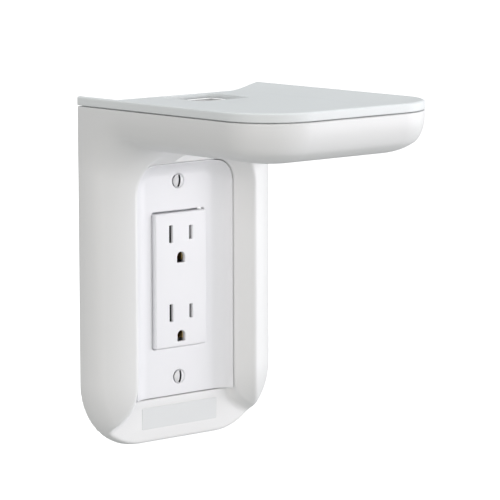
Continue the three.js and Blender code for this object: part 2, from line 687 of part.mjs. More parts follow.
// A contact strip with two spring grips and an outside plate for the terminal screws.
function makeContact(side) {
  const stripX = ordered(side * STRIP.x[0], side * STRIP.x[1]);
  const plateX = ordered(side * PLATE.x[0], side * PLATE.x[1]);
  const bridgeX = ordered(side * STRIP.x[0], side * PLATE.x[1]);
  const pieces = [
    block(...stripX, ...STRIP.depth, -STRIP.half, STRIP.half),
    block(...plateX, ...PLATE.depth, -PLATE.half, PLATE.half),
  ];
  for (const end of OUTLETS) {
    pieces.push(block(...bridgeX, ...BRIDGE.depth, ...ordered(end * BRIDGE.z[0], end * BRIDGE.z[1])));
    pieces.push(contactGrip(side, end));
  }
  const holes = OUTLETS.map((end) => drill('x', TERMINAL.hole, side * 17, TERMINAL.depth, end * TERMINAL.z));
  return cut(union(...pieces), ...holes);
}

function makeGroundContact() {
  const { half, depth, z } = GROUND_STRIP;
  const pieces = [block(-half, half, ...depth, ...z)];
  for (const outlet of OUTLETS) {
    const middle = outlet * OUTLET_Z - GROUND_DROP;
    for (const x of [-half, half - GROUND_GRIP.thick]) {
      const high = GROUND_GRIP.half;
      pieces.push(block(x, x + GROUND_GRIP.thick, ...GROUND_GRIP.depth, middle - high, middle + high));
    }
  }
  return union(...pieces);
}

// A binding-head screw with its axis along x, or along z for the grounding screw.
function bindingScrew(headRadius, shankRadius, shankLength) {
  const profile = [[0, -shankLength], [shankRadius, -shankLength], [shankRadius, 0], [headRadius, 0],
    [headRadius, 1.3], [headRadius - 0.6, 1.9], [0, 2]].map(([r, y]) => new THREE.Vector2(r, y));
  const slot = new THREE.BoxGeometry(0.9, 1.6, headRadius * 2.4);
  slot.translate(0, 2, 0);
  return toSolid(new THREE.LatheGeometry(profile, 18)).subtract(toSolid(slot));
}

// Places a binding screw by its turn and its seat.
function placedScrew(headRadius, turn, x, depth, z) {
  turn.setPosition(x, -depth, z);
  const geometry = toGeometry(bindingScrew(headRadius, TERMINAL.shank, TERMINAL.length));
  geometry.applyMatrix4(turn);
  return toSolid(geometry);
}

function makeTerminalScrew(side, end) {
  const turn = new THREE.Matrix4().makeRotationZ((-side * Math.PI) / 2);
  return placedScrew(TERMINAL.head, turn, side * TERMINAL.x, TERMINAL.depth, end * TERMINAL.z);
}

function makeGroundScrew() {
  const turn = new THREE.Matrix4().makeRotationX(-Math.PI / 2);
  return placedScrew(GROUND_SCREW.head, turn, GROUND_SCREW.x, GROUND_SCREW.depth, GROUND_SCREW.seat);
}

function makeBoxScrew(end) {
  const z = end * BOX_SCREW_Z;
  const profile = [[0, -22], [1.7, -22], [1.7, 1.95], [3.6, 1.95], [3.4, 2.6], [2, 2.95], [0, 2.95]];
  const slot = block(-0.4, 0.4, 2.5, 4, z - 4.5, z + 4.5);
  return turned(0, z, profile, 20).subtract(slot);
}

// The washer that keeps a box screw on its ear before fitting.
function makeScrewRetainer(end) {
  const z = end * BOX_SCREW_Z;
  const pad = roundedBlock(-4.2, 4.2, z - 3.6, z + 3.6, 1, -0.9, -0.1, 4);
  return pad.subtract(roundBar(0, z, 2.05, -3, 2, 16));
}

function makeRivet(side) {
  const back = BASE.depth[0];
  const { head, pin, front } = RIVET;
  const profile = [[0, back - 1], [head, back - 1], [head, back - GAP], [pin, back - GAP], [pin, front], [0, front]];
  return turned(side * RIVET.x, 0, profile, 16);
}

// ---------------------------------------------------------------- assembly

const part = new THREE.Group();
part.name = 'wall_outlet_shelf';

function add(name, solid, material) {
  const mesh = new THREE.Mesh(toGeometry(solid), MATERIALS[material]);
  mesh.name = name;
  part.add(mesh);
}

add('housing', makeHousing(), 'shell');
add('shelf_deck', makeDeck(), 'deck');
add('outlet_cover', makeCover(), 'cover');
add('badge_panel', makeBadge(), 'badge');
add('mounting_strap', makeStrap(), 'steel');
add('receptacle_face', makeFace(), 'face');
add('shutter_retainer', makeShutterRetainer(), 'base');
add('receptacle_base', makeBase(), 'base');
add('line_contact', makeContact(1), 'brass');
add('neutral_contact', makeContact(-1), 'steel');
add('ground_contact', makeGroundContact(), 'brass');
add('ground_screw', makeGroundScrew(), 'green');

for (const [name, end] of [['upper', 1], ['lower', -1]]) {
  add(`cover_screw_${name}`, makeCoverScrew(end), 'paint');
  add(`box_screw_${name}`, makeBoxScrew(end), 'steel');
  add(`screw_retainer_${name}`, makeScrewRetainer(end), 'fibre');
  add(`shutter_${name}`, makeShutter(end), 'shutter');
  add(`shutter_spring_${name}`, makeSpring(end), 'spring');
  add(`line_screw_${name}`, makeTerminalScrew(1, end), 'brass');
  add(`neutral_screw_${name}`, makeTerminalScrew(-1, end), 'steel');
}
add('receptacle_rivet_right', makeRivet(1), 'steel');
add('receptacle_rivet_left', makeRivet(-1), 'steel');

export default part;
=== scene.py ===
"""Looks of a wall outlet shelf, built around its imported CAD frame.

Shapes are worked out in millimetres in the part's own frame: x right along the wall, d out of the
wall (world -Y), z up, from the receptacle's centre on the wall plane. Most pieces are signed distance
fields, negative inside, turned into fine meshes, so every moulded edge gets a true radius.
"""

import json
import math
from functools import partial

import bmesh
import bpy
import numpy as np
from mathutils import Matrix, Vector


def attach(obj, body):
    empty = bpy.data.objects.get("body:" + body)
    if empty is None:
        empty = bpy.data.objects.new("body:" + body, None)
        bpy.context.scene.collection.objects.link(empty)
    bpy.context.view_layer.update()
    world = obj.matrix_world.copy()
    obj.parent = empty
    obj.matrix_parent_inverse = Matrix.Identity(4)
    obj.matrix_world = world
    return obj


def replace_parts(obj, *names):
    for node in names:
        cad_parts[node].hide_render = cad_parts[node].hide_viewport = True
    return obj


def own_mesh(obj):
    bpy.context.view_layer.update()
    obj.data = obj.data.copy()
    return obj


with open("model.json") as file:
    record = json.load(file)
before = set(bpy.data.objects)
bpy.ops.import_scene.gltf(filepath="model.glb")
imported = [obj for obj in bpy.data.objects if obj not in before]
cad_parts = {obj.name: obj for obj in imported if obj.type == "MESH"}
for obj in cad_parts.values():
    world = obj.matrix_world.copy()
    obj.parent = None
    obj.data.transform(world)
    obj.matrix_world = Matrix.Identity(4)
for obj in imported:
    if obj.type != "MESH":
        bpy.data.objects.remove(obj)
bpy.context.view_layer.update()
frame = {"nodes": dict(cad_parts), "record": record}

MM = 0.001
ROOT = "surround"

# ---------------- driving dimensions, mm

WALL = 2.5
GAP = 0.35

HALF_WIDTH = 58.25
BOTTOM = -79.7
PARTING = 88.4
BOTTOM_CORNER = 34.0
BAND_DEPTH = 7.4
CREST_DEPTH = 20.1
CREST_INSET = 20.25
CREST_BULGE = 2.2
CREST_ROUND = 1.1
BAND_ROUND = 5.0

SHELF_DEPTH = 134.0
FRONT_CORNER = 28.0
SHELF_BAND = 77.3
BELLY = 68.5
BELLY_INSET = 17.0
BELLY_BULGE = 1.6
WEB_RADIUS = 17.0

COVER_HALF = 30.9
COVER_TOP = 57.6
COVER_BOTTOM = -57.3
COVER_CORNER = 10.7
COVER_BACK = 3.3
COVER_FLAT = 5.9
COVER_RIM = 11.7
COVE_INSET = 10.4
COVE_TOP_INSET = 6.4
LEDGE_BACK = 0.5
SILL_DEPTH = 6.0
RECESS_END = CREST_DEPTH + 10
BOX_HALF = (24.0, 54.5)
BOX_CORNER = 3.0

# How the recess opens, in mm across for each mm out of the wall, and the curve of its sides' flare:
# x beyond the straight side and z, at the sill's depth and at the crest's.
SIDE_OPENING = 0.8
TOP_OPENING = 0.53
CORNER_OPENING = 0.85
FLARE = (
    ((0.0, -54), (0.0, -46)),
    ((0.0, -66), (0.0, -58)),
    ((6.8, -71), (8.0, -64)),
    ((34.8, -77), (28.0, -68)),
)
FLARE_POINTS = 160

PASS_X = (-8.0, 24.0)
PASS_D = (3.0, 33.0)
PASS_REAR_LOW = (11.75, COVER_TOP + GAP)
PASS_REAR_HIGH = (3.0, PARTING - 3)
PASS_FRONT_LOW = (20.5, 60.0)
PASS_FRONT_HIGH = (33.0, PARTING - 4)
PASS_FLOOR = (14.0, 56.0)
PASS_SKIN = 2.0

RIB_HALF = 0.9
CHEEK_RIB_X = (30, 57)
CHEEK_RIB_D = (1.5, 18)
LONG_RIB_X = 36
LONG_RIB_D = (12, 131)
CROSS_RIB = (55, 85)
SHELF_RIB_Z = (66, 82)

DECK = 89.8
DECK_UNDER = 87.2
RIM = 93.1
RIM_TOP = 3.2
RIM_SLOPE = 0.62
RIM_ROUND = 2.5
TRAY_ROUND = 6.0
DECK_ROUND = 1.8
PLUG_FIT = 0.1

HOOK_D = (28, 66, 104)
HOOK_HALF = 3.5
HOOK_THICK = 1.8
HOOK_REACH = 0.9
HOOK_LOW = 80.0
BARB_HEIGHT = 2.6
BARB_LEAD = 0.5
CATCH_Z = (83.0, 84.4)

BADGE_HALF = (24.0, 5.3)
BADGE_Z = -67.0
BADGE_FIT = -0.3
BADGE_D = (5.5, 6.15)

FACE_HALF = (16.55, 33.25)
FACE_D = (2.6, 7.9)
FACE_SKIN = 1.6
GROUND_SKIN = 1.9
OUTLET_Z = 19.45
SLOT_X = 6.35
SLOT_RAISE = 3.4
SLOT_HALF = 1.05
SLOT_HEIGHTS = {-1: 8.6, 1: 6.8}
GROUND_DROP = 8.4
GROUND_RADIUS = 2.45
GROUND_FLAT = 2.65
SHUTTER_POCKET_X = (-12.5, 14.2)
SHUTTER_POCKET_HALF = 5.5
GROUND_POCKET = (4.6, 3.6)
COVER_SCREW_Z = 48.42
COVER_SCREW_HEAD = 3.25
COVER_SCREW_TOP = 7.1
COVER_SCREW_DOME = 5.2
COVER_SCREW_SHANK = 1.5
COVER_SCREW_END = -9
SINK_HOLE = 2.4
SINK_TOP = 3.75
SINK_DEPTH = 4.4
WINDOW_SPARE = 0.45
LIP_END = 19.0
LIP_LOW = 44.0
SCREW_TILT = math.radians(-7)
# Half-width in mm of the painted shade in the cover screws' slots.
SLOT_SHADE_HALF = 0.6
BOX_SCREW_Z = 41.67
BOX_SCREW_HEAD = 3.6
BOX_SCREW_SEAT = 1.95
BOX_SCREW_END = -22
BOX_SCREW_SHANK = 1.56
KEEPER_HALF = (4.2, 3.6)
KEEPER_D = (-0.9, -0.1)

STRAP_HALF = (16.0, 52.6)
STRAP_D = (0.3, 1.6)
STRAP_WINDOW = (15, 30)
STRAP_HOLE = 1.95
STRAP_SLOT = (1.2, 2.2)
EAR_SCORE = (46.2, 0.42, 8, 0.35, 7.0)  # z, slope, x where it starts, radius, inner end
EAR_DIMPLE = (11.5, 50.0, 1.3)
EARTH_TAB_X = (-15.5, -9.5)
EARTH_TAB_Z = (-34.6, -33.2)
EARTH_SCREW = (-12.5, -4.6, -34.95)
EARTH_SCREW_HEAD = 3.1

BASE_D = (-24.0, -0.1)
BASE_HALF = (16.2, 32.6)
BASE_INSIDE = (14.4, 30.4)
BASE_FLOOR = 2.2
BASE_SEAM = (-9.0, 0.35)
BASE_FOOT = (10.5, 5.5, 0.6)
PLATE_OPENING = ((13.5, 17.5), (-11.5, 2), (-13.6, 13.6))
WIRE_HOLE = (11.0, 20.0)
WIRE_HOLE_RADIUS = 1.35
WIRE_FUNNEL = 2.1
RELEASE_HALF = (0.6, 1.7)
RELEASE_Z = 15.2
BLIND_DEPTH = 4

STRIP_X = (9.4, 10.1)
STRIP_D = (-12, -3)
STRIP_HALF = 26
PLATE_X = (16.7, 17.4)
PLATE_D = (-11, -2)
PLATE_HALF = 13
BRIDGE_D = (-11, -10.3)
BRIDGE_Z = (4, 13)
GRIP_GAP = (1.35, 2.0)
GRIP_HALF = 3
GRIP_FLOOR = (-12.6, -11.9)
GRIP_ARM = ((8, 9.6), (-11, -10))
EARTH_STRIP = ((-3.3, 3.3), (-14.5, -13.8), (-29.7, 13))
EARTH_GRIP = ((2.6, 3.3), (-14.2, 5.2), (-1.8, 1.8))

TERMINAL_X = 17.75
TERMINAL_SPAN = (16.55, 19.8)
TERMINAL_D = -6.0
TERMINAL_Z = 8.5
TERMINAL_HEAD = 3.4
TERMINAL_SHANK = 1.55
TERMINAL_HOLE = 1.9
SCREW_PITCH = 0.8
SCREW_DRIVE = 0.45

RIVET_X = 13.4
RIVET_CLEAR = 1.6
RIVET_HEAD = 2.2
RIVET_PIN = 1.2
RIVET_FRONT = 5.0
RIVET_THICK = 0.65

RETAINER_HALF = (14.6, 29.6)
RETAINER_BACK = 1.0
RETAINER_BLADE = (1.6, 4.8)
RETAINER_GROUND = (3.8, 2.6)
RETAINER_PIN = 1.9
RETAINER_WAIST = (12.2, 3)

SHUTTER_TRAVEL = 3.2
SHUTTER_X = (-12.0, 8.8)
SHUTTER_D = (3.0, 5.9)
SHUTTER_LOW = 4.3
SHUTTER_STEP = -2.0
SHUTTER_HALF = 5.1
SHUTTER_WINDOW = (1.2, 4.4)
SHUTTER_RAMP = 0.7
NUB_RADIUS = 0.45
SPRING_X = (9.3, 13.7)
SPRING_RADIUS = 0.8
SPRING_WIRE = 0.14
SPRING_TURNS = 4

# Largest tilt between faces that are merged as one flat, and the side of a tile in grid steps.
FLAT_TILT = math.radians(0.15)
DECK_TILT = math.radians(0.1)
TILE_STEPS = 14

# ---------------- camera and light

CAMERA_LENS = 236.2
CAMERA_PLACE = (-1034.9, -1213.0, 235.4)
CAMERA_AZIMUTH = math.radians(-41.87)
CAMERA_ELEVATION = math.radians(7.92)
CAMERA_ROLL = math.radians(-0.134)

# Name, degrees right of the front, degrees up, size in metres, watts and colour.
LAMPS = (
    ("key", 52, 3, 1.1, 23.0, (0.975, 0.947, 1.0)),
    ("side", 80, 3, 1.1, 8.97, (0.98, 1.0, 0.965)),
    ("front", -10, 5, 1.4, 9.64, (1.0, 1.0, 0.987)),
    ("fill", -60, 6, 1.4, 11.0, (1.0, 0.924, 0.886)),
)
LAMP_DISTANCE = 2.2
LAMP_TARGET = Vector((0, -0.04, 0.0))
TOP_LAMP = Vector((0, -0.067, 1.6))
SKY_COLOUR = (0.967, 1.0, 0.996, 1.0)
SKY_STRENGTH = 0.409
FLOOR_Z = -3.0
FLOOR_SIZE = 12.0
BACKDROP_RADIUS = 10.0


def direction(azimuth, elevation):
    """The way from the object to a place right of its front and above the horizon."""
    level = math.cos(elevation)
    return Vector((math.sin(azimuth) * level, -math.cos(azimuth) * level, math.sin(elevation)))


def add_camera():
    """The photograph's viewpoint: a long lens from the left, a little above."""
    data = bpy.data.cameras.new("camera")
    data.lens = CAMERA_LENS
    data.sensor_width = 36.0
    data.clip_start = 0.05
    data.clip_end = 20.0
    camera = bpy.data.objects.new("camera", data)
    bpy.context.collection.objects.link(camera)
    back = direction(CAMERA_AZIMUTH, CAMERA_ELEVATION)
    right = Vector((math.cos(CAMERA_AZIMUTH), math.sin(CAMERA_AZIMUTH), 0.0))
    up = back.cross(right)
    turn = Matrix.Rotation(CAMERA_ROLL, 4, back)
    basis = Matrix((right, up, back)).transposed().to_4x4()
    camera.matrix_world = turn @ basis
    camera.location = Vector(CAMERA_PLACE) * MM
    bpy.context.scene.camera = camera


def area_light(name, location, target, size, power, colour):
    data = bpy.data.lights.new(name, "AREA")
    data.shape = "SQUARE"
    data.size = size
    data.energy = power
    data.color = colour
    lamp = bpy.data.objects.new(name, data)
    bpy.context.collection.objects.link(lamp)
    lamp.location = location
    lamp.rotation_euler = (target - location).to_track_quat("-Z", "Y").to_euler()


def add_white(stage, name):
    """Makes the floor or the backdrop plain white: seen, but neither lighting nor shading the object."""
    stage.name = name
    stage.visible_diffuse = False
    stage.visible_glossy = False
    stage.visible_transmission = False
    stage.visible_shadow = False
    white = plain_material(name + "_white", (0.6, 0.6, 0.6), 0.9)
    shader = white.node_tree.nodes["Principled BSDF"]
    shader.inputs["Emission Color"].default_value = (1.0, 1.0, 1.0, 1.0)
    shader.inputs["Emission Strength"].default_value = 1.0
    stage.data.materials.append(white)


def add_studio():
    """Two lamps from the right, one in front, a fill from the left, a top light and an even sky."""
    for name, turn, rise, size, power, colour in LAMPS:
        way = direction(math.radians(turn), math.radians(rise))
        area_light(name, LAMP_TARGET + way * LAMP_DISTANCE, LAMP_TARGET, size, power, colour)
    below = Vector((TOP_LAMP.x, TOP_LAMP.y, 0))
    area_light("top", TOP_LAMP, below, 1.2, 11.2, (0.972, 0.972, 1.0))
    world = bpy.data.worlds.new("studio")
    world.use_nodes = True
    background = world.node_tree.nodes["Background"]
    background.inputs["Color"].default_value = SKY_COLOUR
    background.inputs["Strength"].default_value = SKY_STRENGTH
    bpy.context.scene.world = world
    bpy.ops.mesh.primitive_plane_add(size=FLOOR_SIZE, location=(0, 0, FLOOR_Z))
    add_white(bpy.context.object, "floor")
    bpy.ops.mesh.primitive_uv_sphere_add(segments=32, ring_count=16, radius=BACKDROP_RADIUS)
    add_white(bpy.context.object, "backdrop")
    bpy.context.scene.view_settings.view_transform = "Standard"


# ---------------- materials

# Noise scales are in cycles per metre.
DRIFT_SCALE = 14.0
SATIN_SCALE = 60.0
SATIN_RANGE = 0.05
GRAIN_SCALE = 1400.0
GRAIN_HEIGHT = 0.012
BRUSH_SCALE = 300.0
# Painted shade in the cover screws' slots.
SLOT_SHADE_COLOUR = (0.05, 0.05, 0.055)
# Painted shade on the shutters' low ends.
SHUTTER_SHADE_COLOUR = (0.04, 0.04, 0.04)


def principled(name):
    material = bpy.data.materials.new(name)
    material.use_nodes = True
    tree = material.node_tree
    return material, tree.nodes, tree.links, tree.nodes["Principled BSDF"]


def plain_material(name, colour, roughness):
    material, _, _, shader = principled(name)
    shader.inputs["Base Color"].default_value = (*colour, 1.0)
    shader.inputs["Roughness"].default_value = roughness
    return material


def noise_node(nodes, links, scale, detail=3.0, roughness=0.5):
    """Solid noise in the piece's own coordinates; scale is in cycles per metre."""
    place = nodes.new("ShaderNodeTexCoord")
    noise = nodes.new("ShaderNodeTexNoise")
    noise.inputs["Scale"].default_value = scale
    noise.inputs["Detail"].default_value = detail
    noise.inputs["Roughness"].default_value = roughness
    links.new(place.outputs["Object"], noise.inputs["Vector"])
    return noise


def ramp_node(nodes, links, source, low, high, at=(0.3, 0.7)):
    ramp = nodes.new("ShaderNodeValToRGB")
    ramp.color_ramp.elements[0].position = at[0]
    ramp.color_ramp.elements[1].position = at[1]
    ramp.color_ramp.elements[0].color = (*low, 1.0)
    ramp.color_ramp.elements[1].color = (*high, 1.0)
    links.new(source, ramp.inputs["Fac"])
    return ramp


def moulded_plastic(name, colour, roughness, mottle=0.012):
    """Injection-moulded plastic: slight tone drift, satin patches and a fine sparked grain."""
    material, nodes, links, shader = principled(name)
    drift = noise_node(nodes, links, DRIFT_SCALE, 2.0)
    low = tuple(c * (1 - mottle) for c in colour)
    high = tuple(min(c * (1 + mottle), 1.0) for c in colour)
    tone = ramp_node(nodes, links, drift.outputs["Fac"], low, high)
    links.new(tone.outputs["Color"], shader.inputs["Base Color"])
    patches = noise_node(nodes, links, SATIN_SCALE, 3.0)
    span = nodes.new("ShaderNodeMapRange")
    span.inputs["To Min"].default_value = roughness - SATIN_RANGE
    span.inputs["To Max"].default_value = roughness + SATIN_RANGE
    links.new(patches.outputs["Fac"], span.inputs["Value"])
    links.new(span.outputs["Result"], shader.inputs["Roughness"])
    pits = noise_node(nodes, links, GRAIN_SCALE, 4.0, 0.6)
    bump = nodes.new("ShaderNodeBump")
    bump.inputs["Strength"].default_value = 0.25
    bump.inputs["Distance"].default_value = GRAIN_HEIGHT * MM
    links.new(pits.outputs["Fac"], bump.inputs["Height"])
    links.new(bump.outputs["Normal"], shader.inputs["Normal"])
    shader.inputs["Specular IOR Level"].default_value = 0.45
    return material


def metal_finish(name, colour, roughness):
    """Plated or bare metal: fine streaks in tone and roughness."""
    material, nodes, links, shader = principled(name)
    streaks = noise_node(nodes, links, BRUSH_SCALE, 5.0)
    tone = ramp_node(nodes, links, streaks.outputs["Fac"], tuple(c * 0.86 for c in colour), colour)
    links.new(tone.outputs["Color"], shader.inputs["Base Color"])
    span = nodes.new("ShaderNodeMapRange")
    span.inputs["To Min"].default_value = roughness - 0.08
    span.inputs["To Max"].default_value = roughness + 0.1
    links.new(streaks.outputs["Fac"], span.inputs["Value"])
    links.new(span.outputs["Result"], shader.inputs["Roughness"])
    shader.inputs["Metallic"].default_value = 1.0
    return material


def maths(tree, operation, *values):
    node = tree.nodes.new("ShaderNodeMath")
    node.operation = operation
    for socket, value in zip(node.inputs, values):
        if isinstance(value, float):
            socket.default_value = value
        else:
            tree.links.new(value, socket)
    return node.outputs[0]


def own_place(tree):
    """A point's place in the piece's own coordinates, in metres."""
    place = tree.nodes.new("ShaderNodeTexCoord")
    parts = tree.nodes.new("ShaderNodeSeparateXYZ")
    tree.links.new(place.outputs["Object"], parts.inputs[0])
    return parts.outputs


def paint_shade(tree, inside, colour):
    """Paints shade: replaces a material's base colour where a mask is 1."""
    base = tree.nodes["Principled BSDF"].inputs["Base Color"]
    mix = tree.nodes.new("ShaderNodeMix")
    mix.data_type = "RGBA"
    tree.links.new(inside, mix.inputs["Factor"])
    tree.links.new(base.links[0].from_socket, mix.inputs["A"])
    mix.inputs["B"].default_value = (*colour, 1.0)
    tree.links.new(mix.outputs["Result"], base)


def shade_screw_slots(material):
    """Paints shade into the cover screws' slots, which are nearly black in the photograph."""
    tree = material.node_tree
    place = own_place(tree)
    middle = maths(tree, "MULTIPLY", maths(tree, "SIGN", place["Z"]), COVER_SCREW_Z * MM)
    lean = maths(tree, "MULTIPLY", maths(tree, "SUBTRACT", place["Z"], middle), math.sin(SCREW_TILT))
    across = maths(tree, "MULTIPLY_ADD", place["X"], math.cos(SCREW_TILT), lean)
    inside = maths(tree, "LESS_THAN", maths(tree, "ABSOLUTE", across), SLOT_SHADE_HALF * MM)
    paint_shade(tree, inside, SLOT_SHADE_COLOUR)


def shade_shutter_ends(material):
    """Paints shade on the shutters' low end, which the photograph shows black behind the wide slots."""
    tree = material.node_tree
    inside = maths(tree, "LESS_THAN", own_place(tree)["X"], SHUTTER_STEP * MM)
    paint_shade(tree, inside, SHUTTER_SHADE_COLOUR)


MATERIALS = {
    "shell": moulded_plastic("shell_plastic", (0.83, 0.83, 0.83), 0.42),
    "deck": moulded_plastic("deck_plastic", (0.81, 0.835, 0.84), 0.46),
    "cover": moulded_plastic("cover_plastic", (0.85, 0.85, 0.87), 0.40),
    "badge": moulded_plastic("badge_plastic", (0.745, 0.757, 0.76), 0.5),
    "face": moulded_plastic("face_nylon", (0.83, 0.83, 0.85), 0.34),
    "base": moulded_plastic("base_plastic", (0.045, 0.046, 0.048), 0.5, mottle=0.1),
    "shutter": moulded_plastic("shutter_acetal", (0.42, 0.42, 0.43), 0.45),
    "paint": moulded_plastic("screw_enamel", (0.84, 0.84, 0.85), 0.3, mottle=0.006),
    "steel": metal_finish("zinc_steel", (0.66, 0.68, 0.70), 0.36),
    "contact_steel": metal_finish("nickel_plate", (0.72, 0.70, 0.64), 0.3),
    "brass": metal_finish("brass", (0.80, 0.60, 0.26), 0.3),
    "spring": metal_finish("spring_wire", (0.62, 0.63, 0.65), 0.25),
    "green_screw": metal_finish("green_steel", (0.10, 0.34, 0.16), 0.35),
    "fibre": moulded_plastic("vulcanised_fibre", (0.36, 0.25, 0.14), 0.8, mottle=0.12),
}
# Painted shade in the cover screws' slots.
shade_screw_slots(MATERIALS["paint"])
# Painted shade on the shutters' low ends.
shade_shutter_ends(MATERIALS["shutter"])

# ---------------- distance-field tools


def hypot(*parts):
    total = parts[0] ** 2
    for part in parts[1:]:
        total = total + part ** 2
    return np.sqrt(total)


def both(a, b, radius=0.0):
    """Intersection, with an outer edge rounded to a radius."""
    if not radius:
        return np.maximum(a, b)
    bend = hypot(np.maximum(radius + a, 0), np.maximum(radius + b, 0))
    return np.minimum(-radius, np.maximum(a, b)) + bend


def either(a, b, radius=0.0):
    """Union, with an inner corner filled to a radius."""
    if not radius:
        return np.minimum(a, b)
    bend = hypot(np.maximum(radius - a, 0), np.maximum(radius - b, 0))
    return np.maximum(radius, np.minimum(a, b)) - bend


def without(a, b, radius=0.0):
    return both(a, -b, radius)


def rounded_corner(p, q, radius):
    """Two straight sides joined by an arc; p and q are measured from the arc's centre."""
    return hypot(np.maximum(p, 0), np.maximum(q, 0)) + np.minimum(np.maximum(p, q), 0) - radius


def round_rect(u, v, half_u, half_v, radius):
    """A rounded rectangle about the origin of u and v."""
    return rounded_corner(np.abs(u) - (half_u - radius), np.abs(v) - (half_v - radius), radius)


def span(value, low, high):
    return np.maximum(low - value, value - high)


def brick(x, d, z, xs, ds, zs, radius=0.0):
    """A box from its spans along x, d and z, with every edge rounded to a radius."""
    sides = []
    for value, (low, high) in ((x, sorted(xs)), (d, sorted(ds)), (z, sorted(zs))):
        sides.append(np.abs(value - (low + high) / 2) - (high - low) / 2 + radius)
    inner = np.minimum(np.maximum(np.maximum(sides[0], sides[1]), sides[2]), 0)
    return hypot(*[np.maximum(side, 0) for side in sides]) + inner - radius


def centred(half):
    return -half, half


def corners_of(half, depths):
    """Low and high corners in x, d and z of a piece centred on x = 0 and z = 0."""
    return (-half[0], depths[0], -half[1]), (half[0], depths[1], half[1])


def helical_thread(u, v, along, radius, pitch, height):
    """A screw's thread about the axis where u and v are 0."""
    turn = 2 * np.pi * along / pitch - np.arctan2(v, u)
    return (hypot(u, v) - radius - height * np.cos(turn)) * 0.8


def surface_nets(values, low, step):
    """Vertices and quads of the zero surface of a grid of values."""
    inside = values < 0
    corners = [(i, j, k) for i in (0, 1) for j in (0, 1) for k in (0, 1)]
    shape = tuple(n - 1 for n in values.shape)

    def shifted(array, corner):
        return array[tuple(slice(c, c + n) for c, n in zip(corner, shape))]

    total = sum(shifted(inside, corner).astype(np.int8) for corner in corners)
    cells = np.argwhere((total > 0) & (total < 8))
    number = np.full(shape, -1, dtype=np.int64)
    number[tuple(cells.T)] = np.arange(len(cells))
    held = [values[tuple((cells + corner).T)] for corner in corners]
    place = np.zeros((len(cells), 3))
    count = np.zeros(len(cells))
    for a, first in enumerate(corners):
        for b in range(a + 1, 8):
            second = corners[b]
            if sum(abs(p - q) for p, q in zip(first, second)) != 1:
                continue
            crossed = (held[a] < 0) != (held[b] < 0)
            share = held[a][crossed] / (held[a][crossed] - held[b][crossed])
            start = np.array(first, dtype=float)
            place[crossed] += start + share[:, None] * (np.array(second) - start)
            count[crossed] += 1
    points = (cells + place / count[:, None]) * step + np.array(low)
    quads = []
    for axis in range(3):
        u, v = [other for other in range(3) if other != axis]
        first = tuple(slice(0, -1) if k == axis else slice(1, -1) for k in range(3))
        second = tuple(slice(1, None) if k == axis else slice(1, -1) for k in range(3))
        starts = np.argwhere(inside[first] != inside[second])
        starts[:, u] += 1
        starts[:, v] += 1
        ring = []
        for du, dv in ((-1, -1), (0, -1), (0, 0), (-1, 0)):
            cell = starts.copy()
            cell[:, u] += du
            cell[:, v] += dv
            ring.append(number[tuple(cell.T)])
        ring = np.stack(ring, axis=1)
        outward = inside[tuple(starts.T)] ^ (axis == 1)
        ring[~outward] = ring[~outward][:, ::-1]
        quads.append(ring)
    return points, np.concatenate(quads)


def field_piece(name, field, low, high, step, slot, body=ROOT, thin=0.0):
    """Makes a piece from a distance field over a box given in x, d and z."""
    low = np.array(low, dtype=float) - 2.03 * step
    counts = [int(math.ceil((h - l) / step)) + 3 for l, h in zip(low, high)]
    axes = [l + step * np.arange(n) for l, n in zip(low, counts)]
    x, d, z = np.meshgrid(*axes, indexing="ij", sparse=True)
    values = np.broadcast_to(field(x, d, z), counts).astype(np.float32)
    points, quads = surface_nets(values, low, step)
    slopes = [gradient_at(values, points, low, step, axis) for axis in range(3)]
    normals = np.stack(slopes, axis=1)
    normals /= np.maximum(np.linalg.norm(normals, axis=1), 1e-9)[:, None]
    points[:, 1] *= -1
    normals[:, 1] *= -1
    mesh = bpy.data.meshes.new(name)
    mesh.from_pydata((points * MM).tolist(), [], quads[:, ::-1].tolist())
    if thin:
        normals = thin_flats(mesh, normals, thin, TILE_STEPS * step * MM)
    mesh.shade_smooth()
    mesh.normals_split_custom_set_from_vertices(normals.tolist())
    piece = bpy.data.objects.new(name, mesh)
    bpy.context.collection.objects.link(piece)
    finish_piece(piece, slot, body)
    return piece


def gradient_at(values, points, low, step, axis):
    """The field's slope along one axis, read at points by trilinear sampling."""
    shift = np.zeros(3)
    shift[axis] = 0.6
    here = (points - low) / step
    return sample(values, here + shift) - sample(values, here - shift)


def sample(values, where):
    top = np.array(values.shape) - 1.001
    where = np.clip(where, 0, top)
    base = where.astype(int)
    share = where - base
    total = np.zeros(len(where))
    for i in (0, 1):
        for j in (0, 1):
            for k in (0, 1):
                corner = values[base[:, 0] + i, base[:, 1] + j, base[:, 2] + k]
                weight = np.prod(np.abs(np.array((1 - i, 1 - j, 1 - k)) - share), axis=1)
                total += corner * weight
    return total


def thin_flats(mesh, normals, angle, tile):
    """Merges faces that lie in one plane, tile by tile. Returns the normals of the vertices that stay."""
    centres = np.empty(len(mesh.polygons) * 3)
    mesh.polygons.foreach_get("center", centres)
    tiles = np.floor(centres.reshape(-1, 3) / tile).astype(int) @ (1, 1000, 1000000)
    work = bmesh.new()
    work.from_mesh(mesh)
    tiles = tiles.tolist()
    for edge in work.edges:
        faces = edge.link_faces
        edge.seam = len(faces) != 2 or tiles[faces[0].index] != tiles[faces[1].index]
    layer = work.verts.layers.float_vector.new("normal_kept")
    for vert, normal in zip(work.verts, normals.tolist()):
        vert[layer] = normal
    bmesh.ops.dissolve_limit(work, angle_limit=angle, verts=work.verts, edges=work.edges, delimit={"SEAM"})
    bmesh.ops.triangulate(work, faces=[face for face in work.faces if len(face.verts) > 4])
    for edge in work.edges:
        edge.seam = False
    kept = np.array([tuple(vert[layer]) for vert in work.verts])
    work.verts.layers.float_vector.remove(layer)
    work.to_mesh(mesh)
    work.free()
    return kept


def finish_piece(piece, slot, body):
    piece.data.materials.append(MATERIALS[slot])
    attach(piece, body)


# ---------------- housing


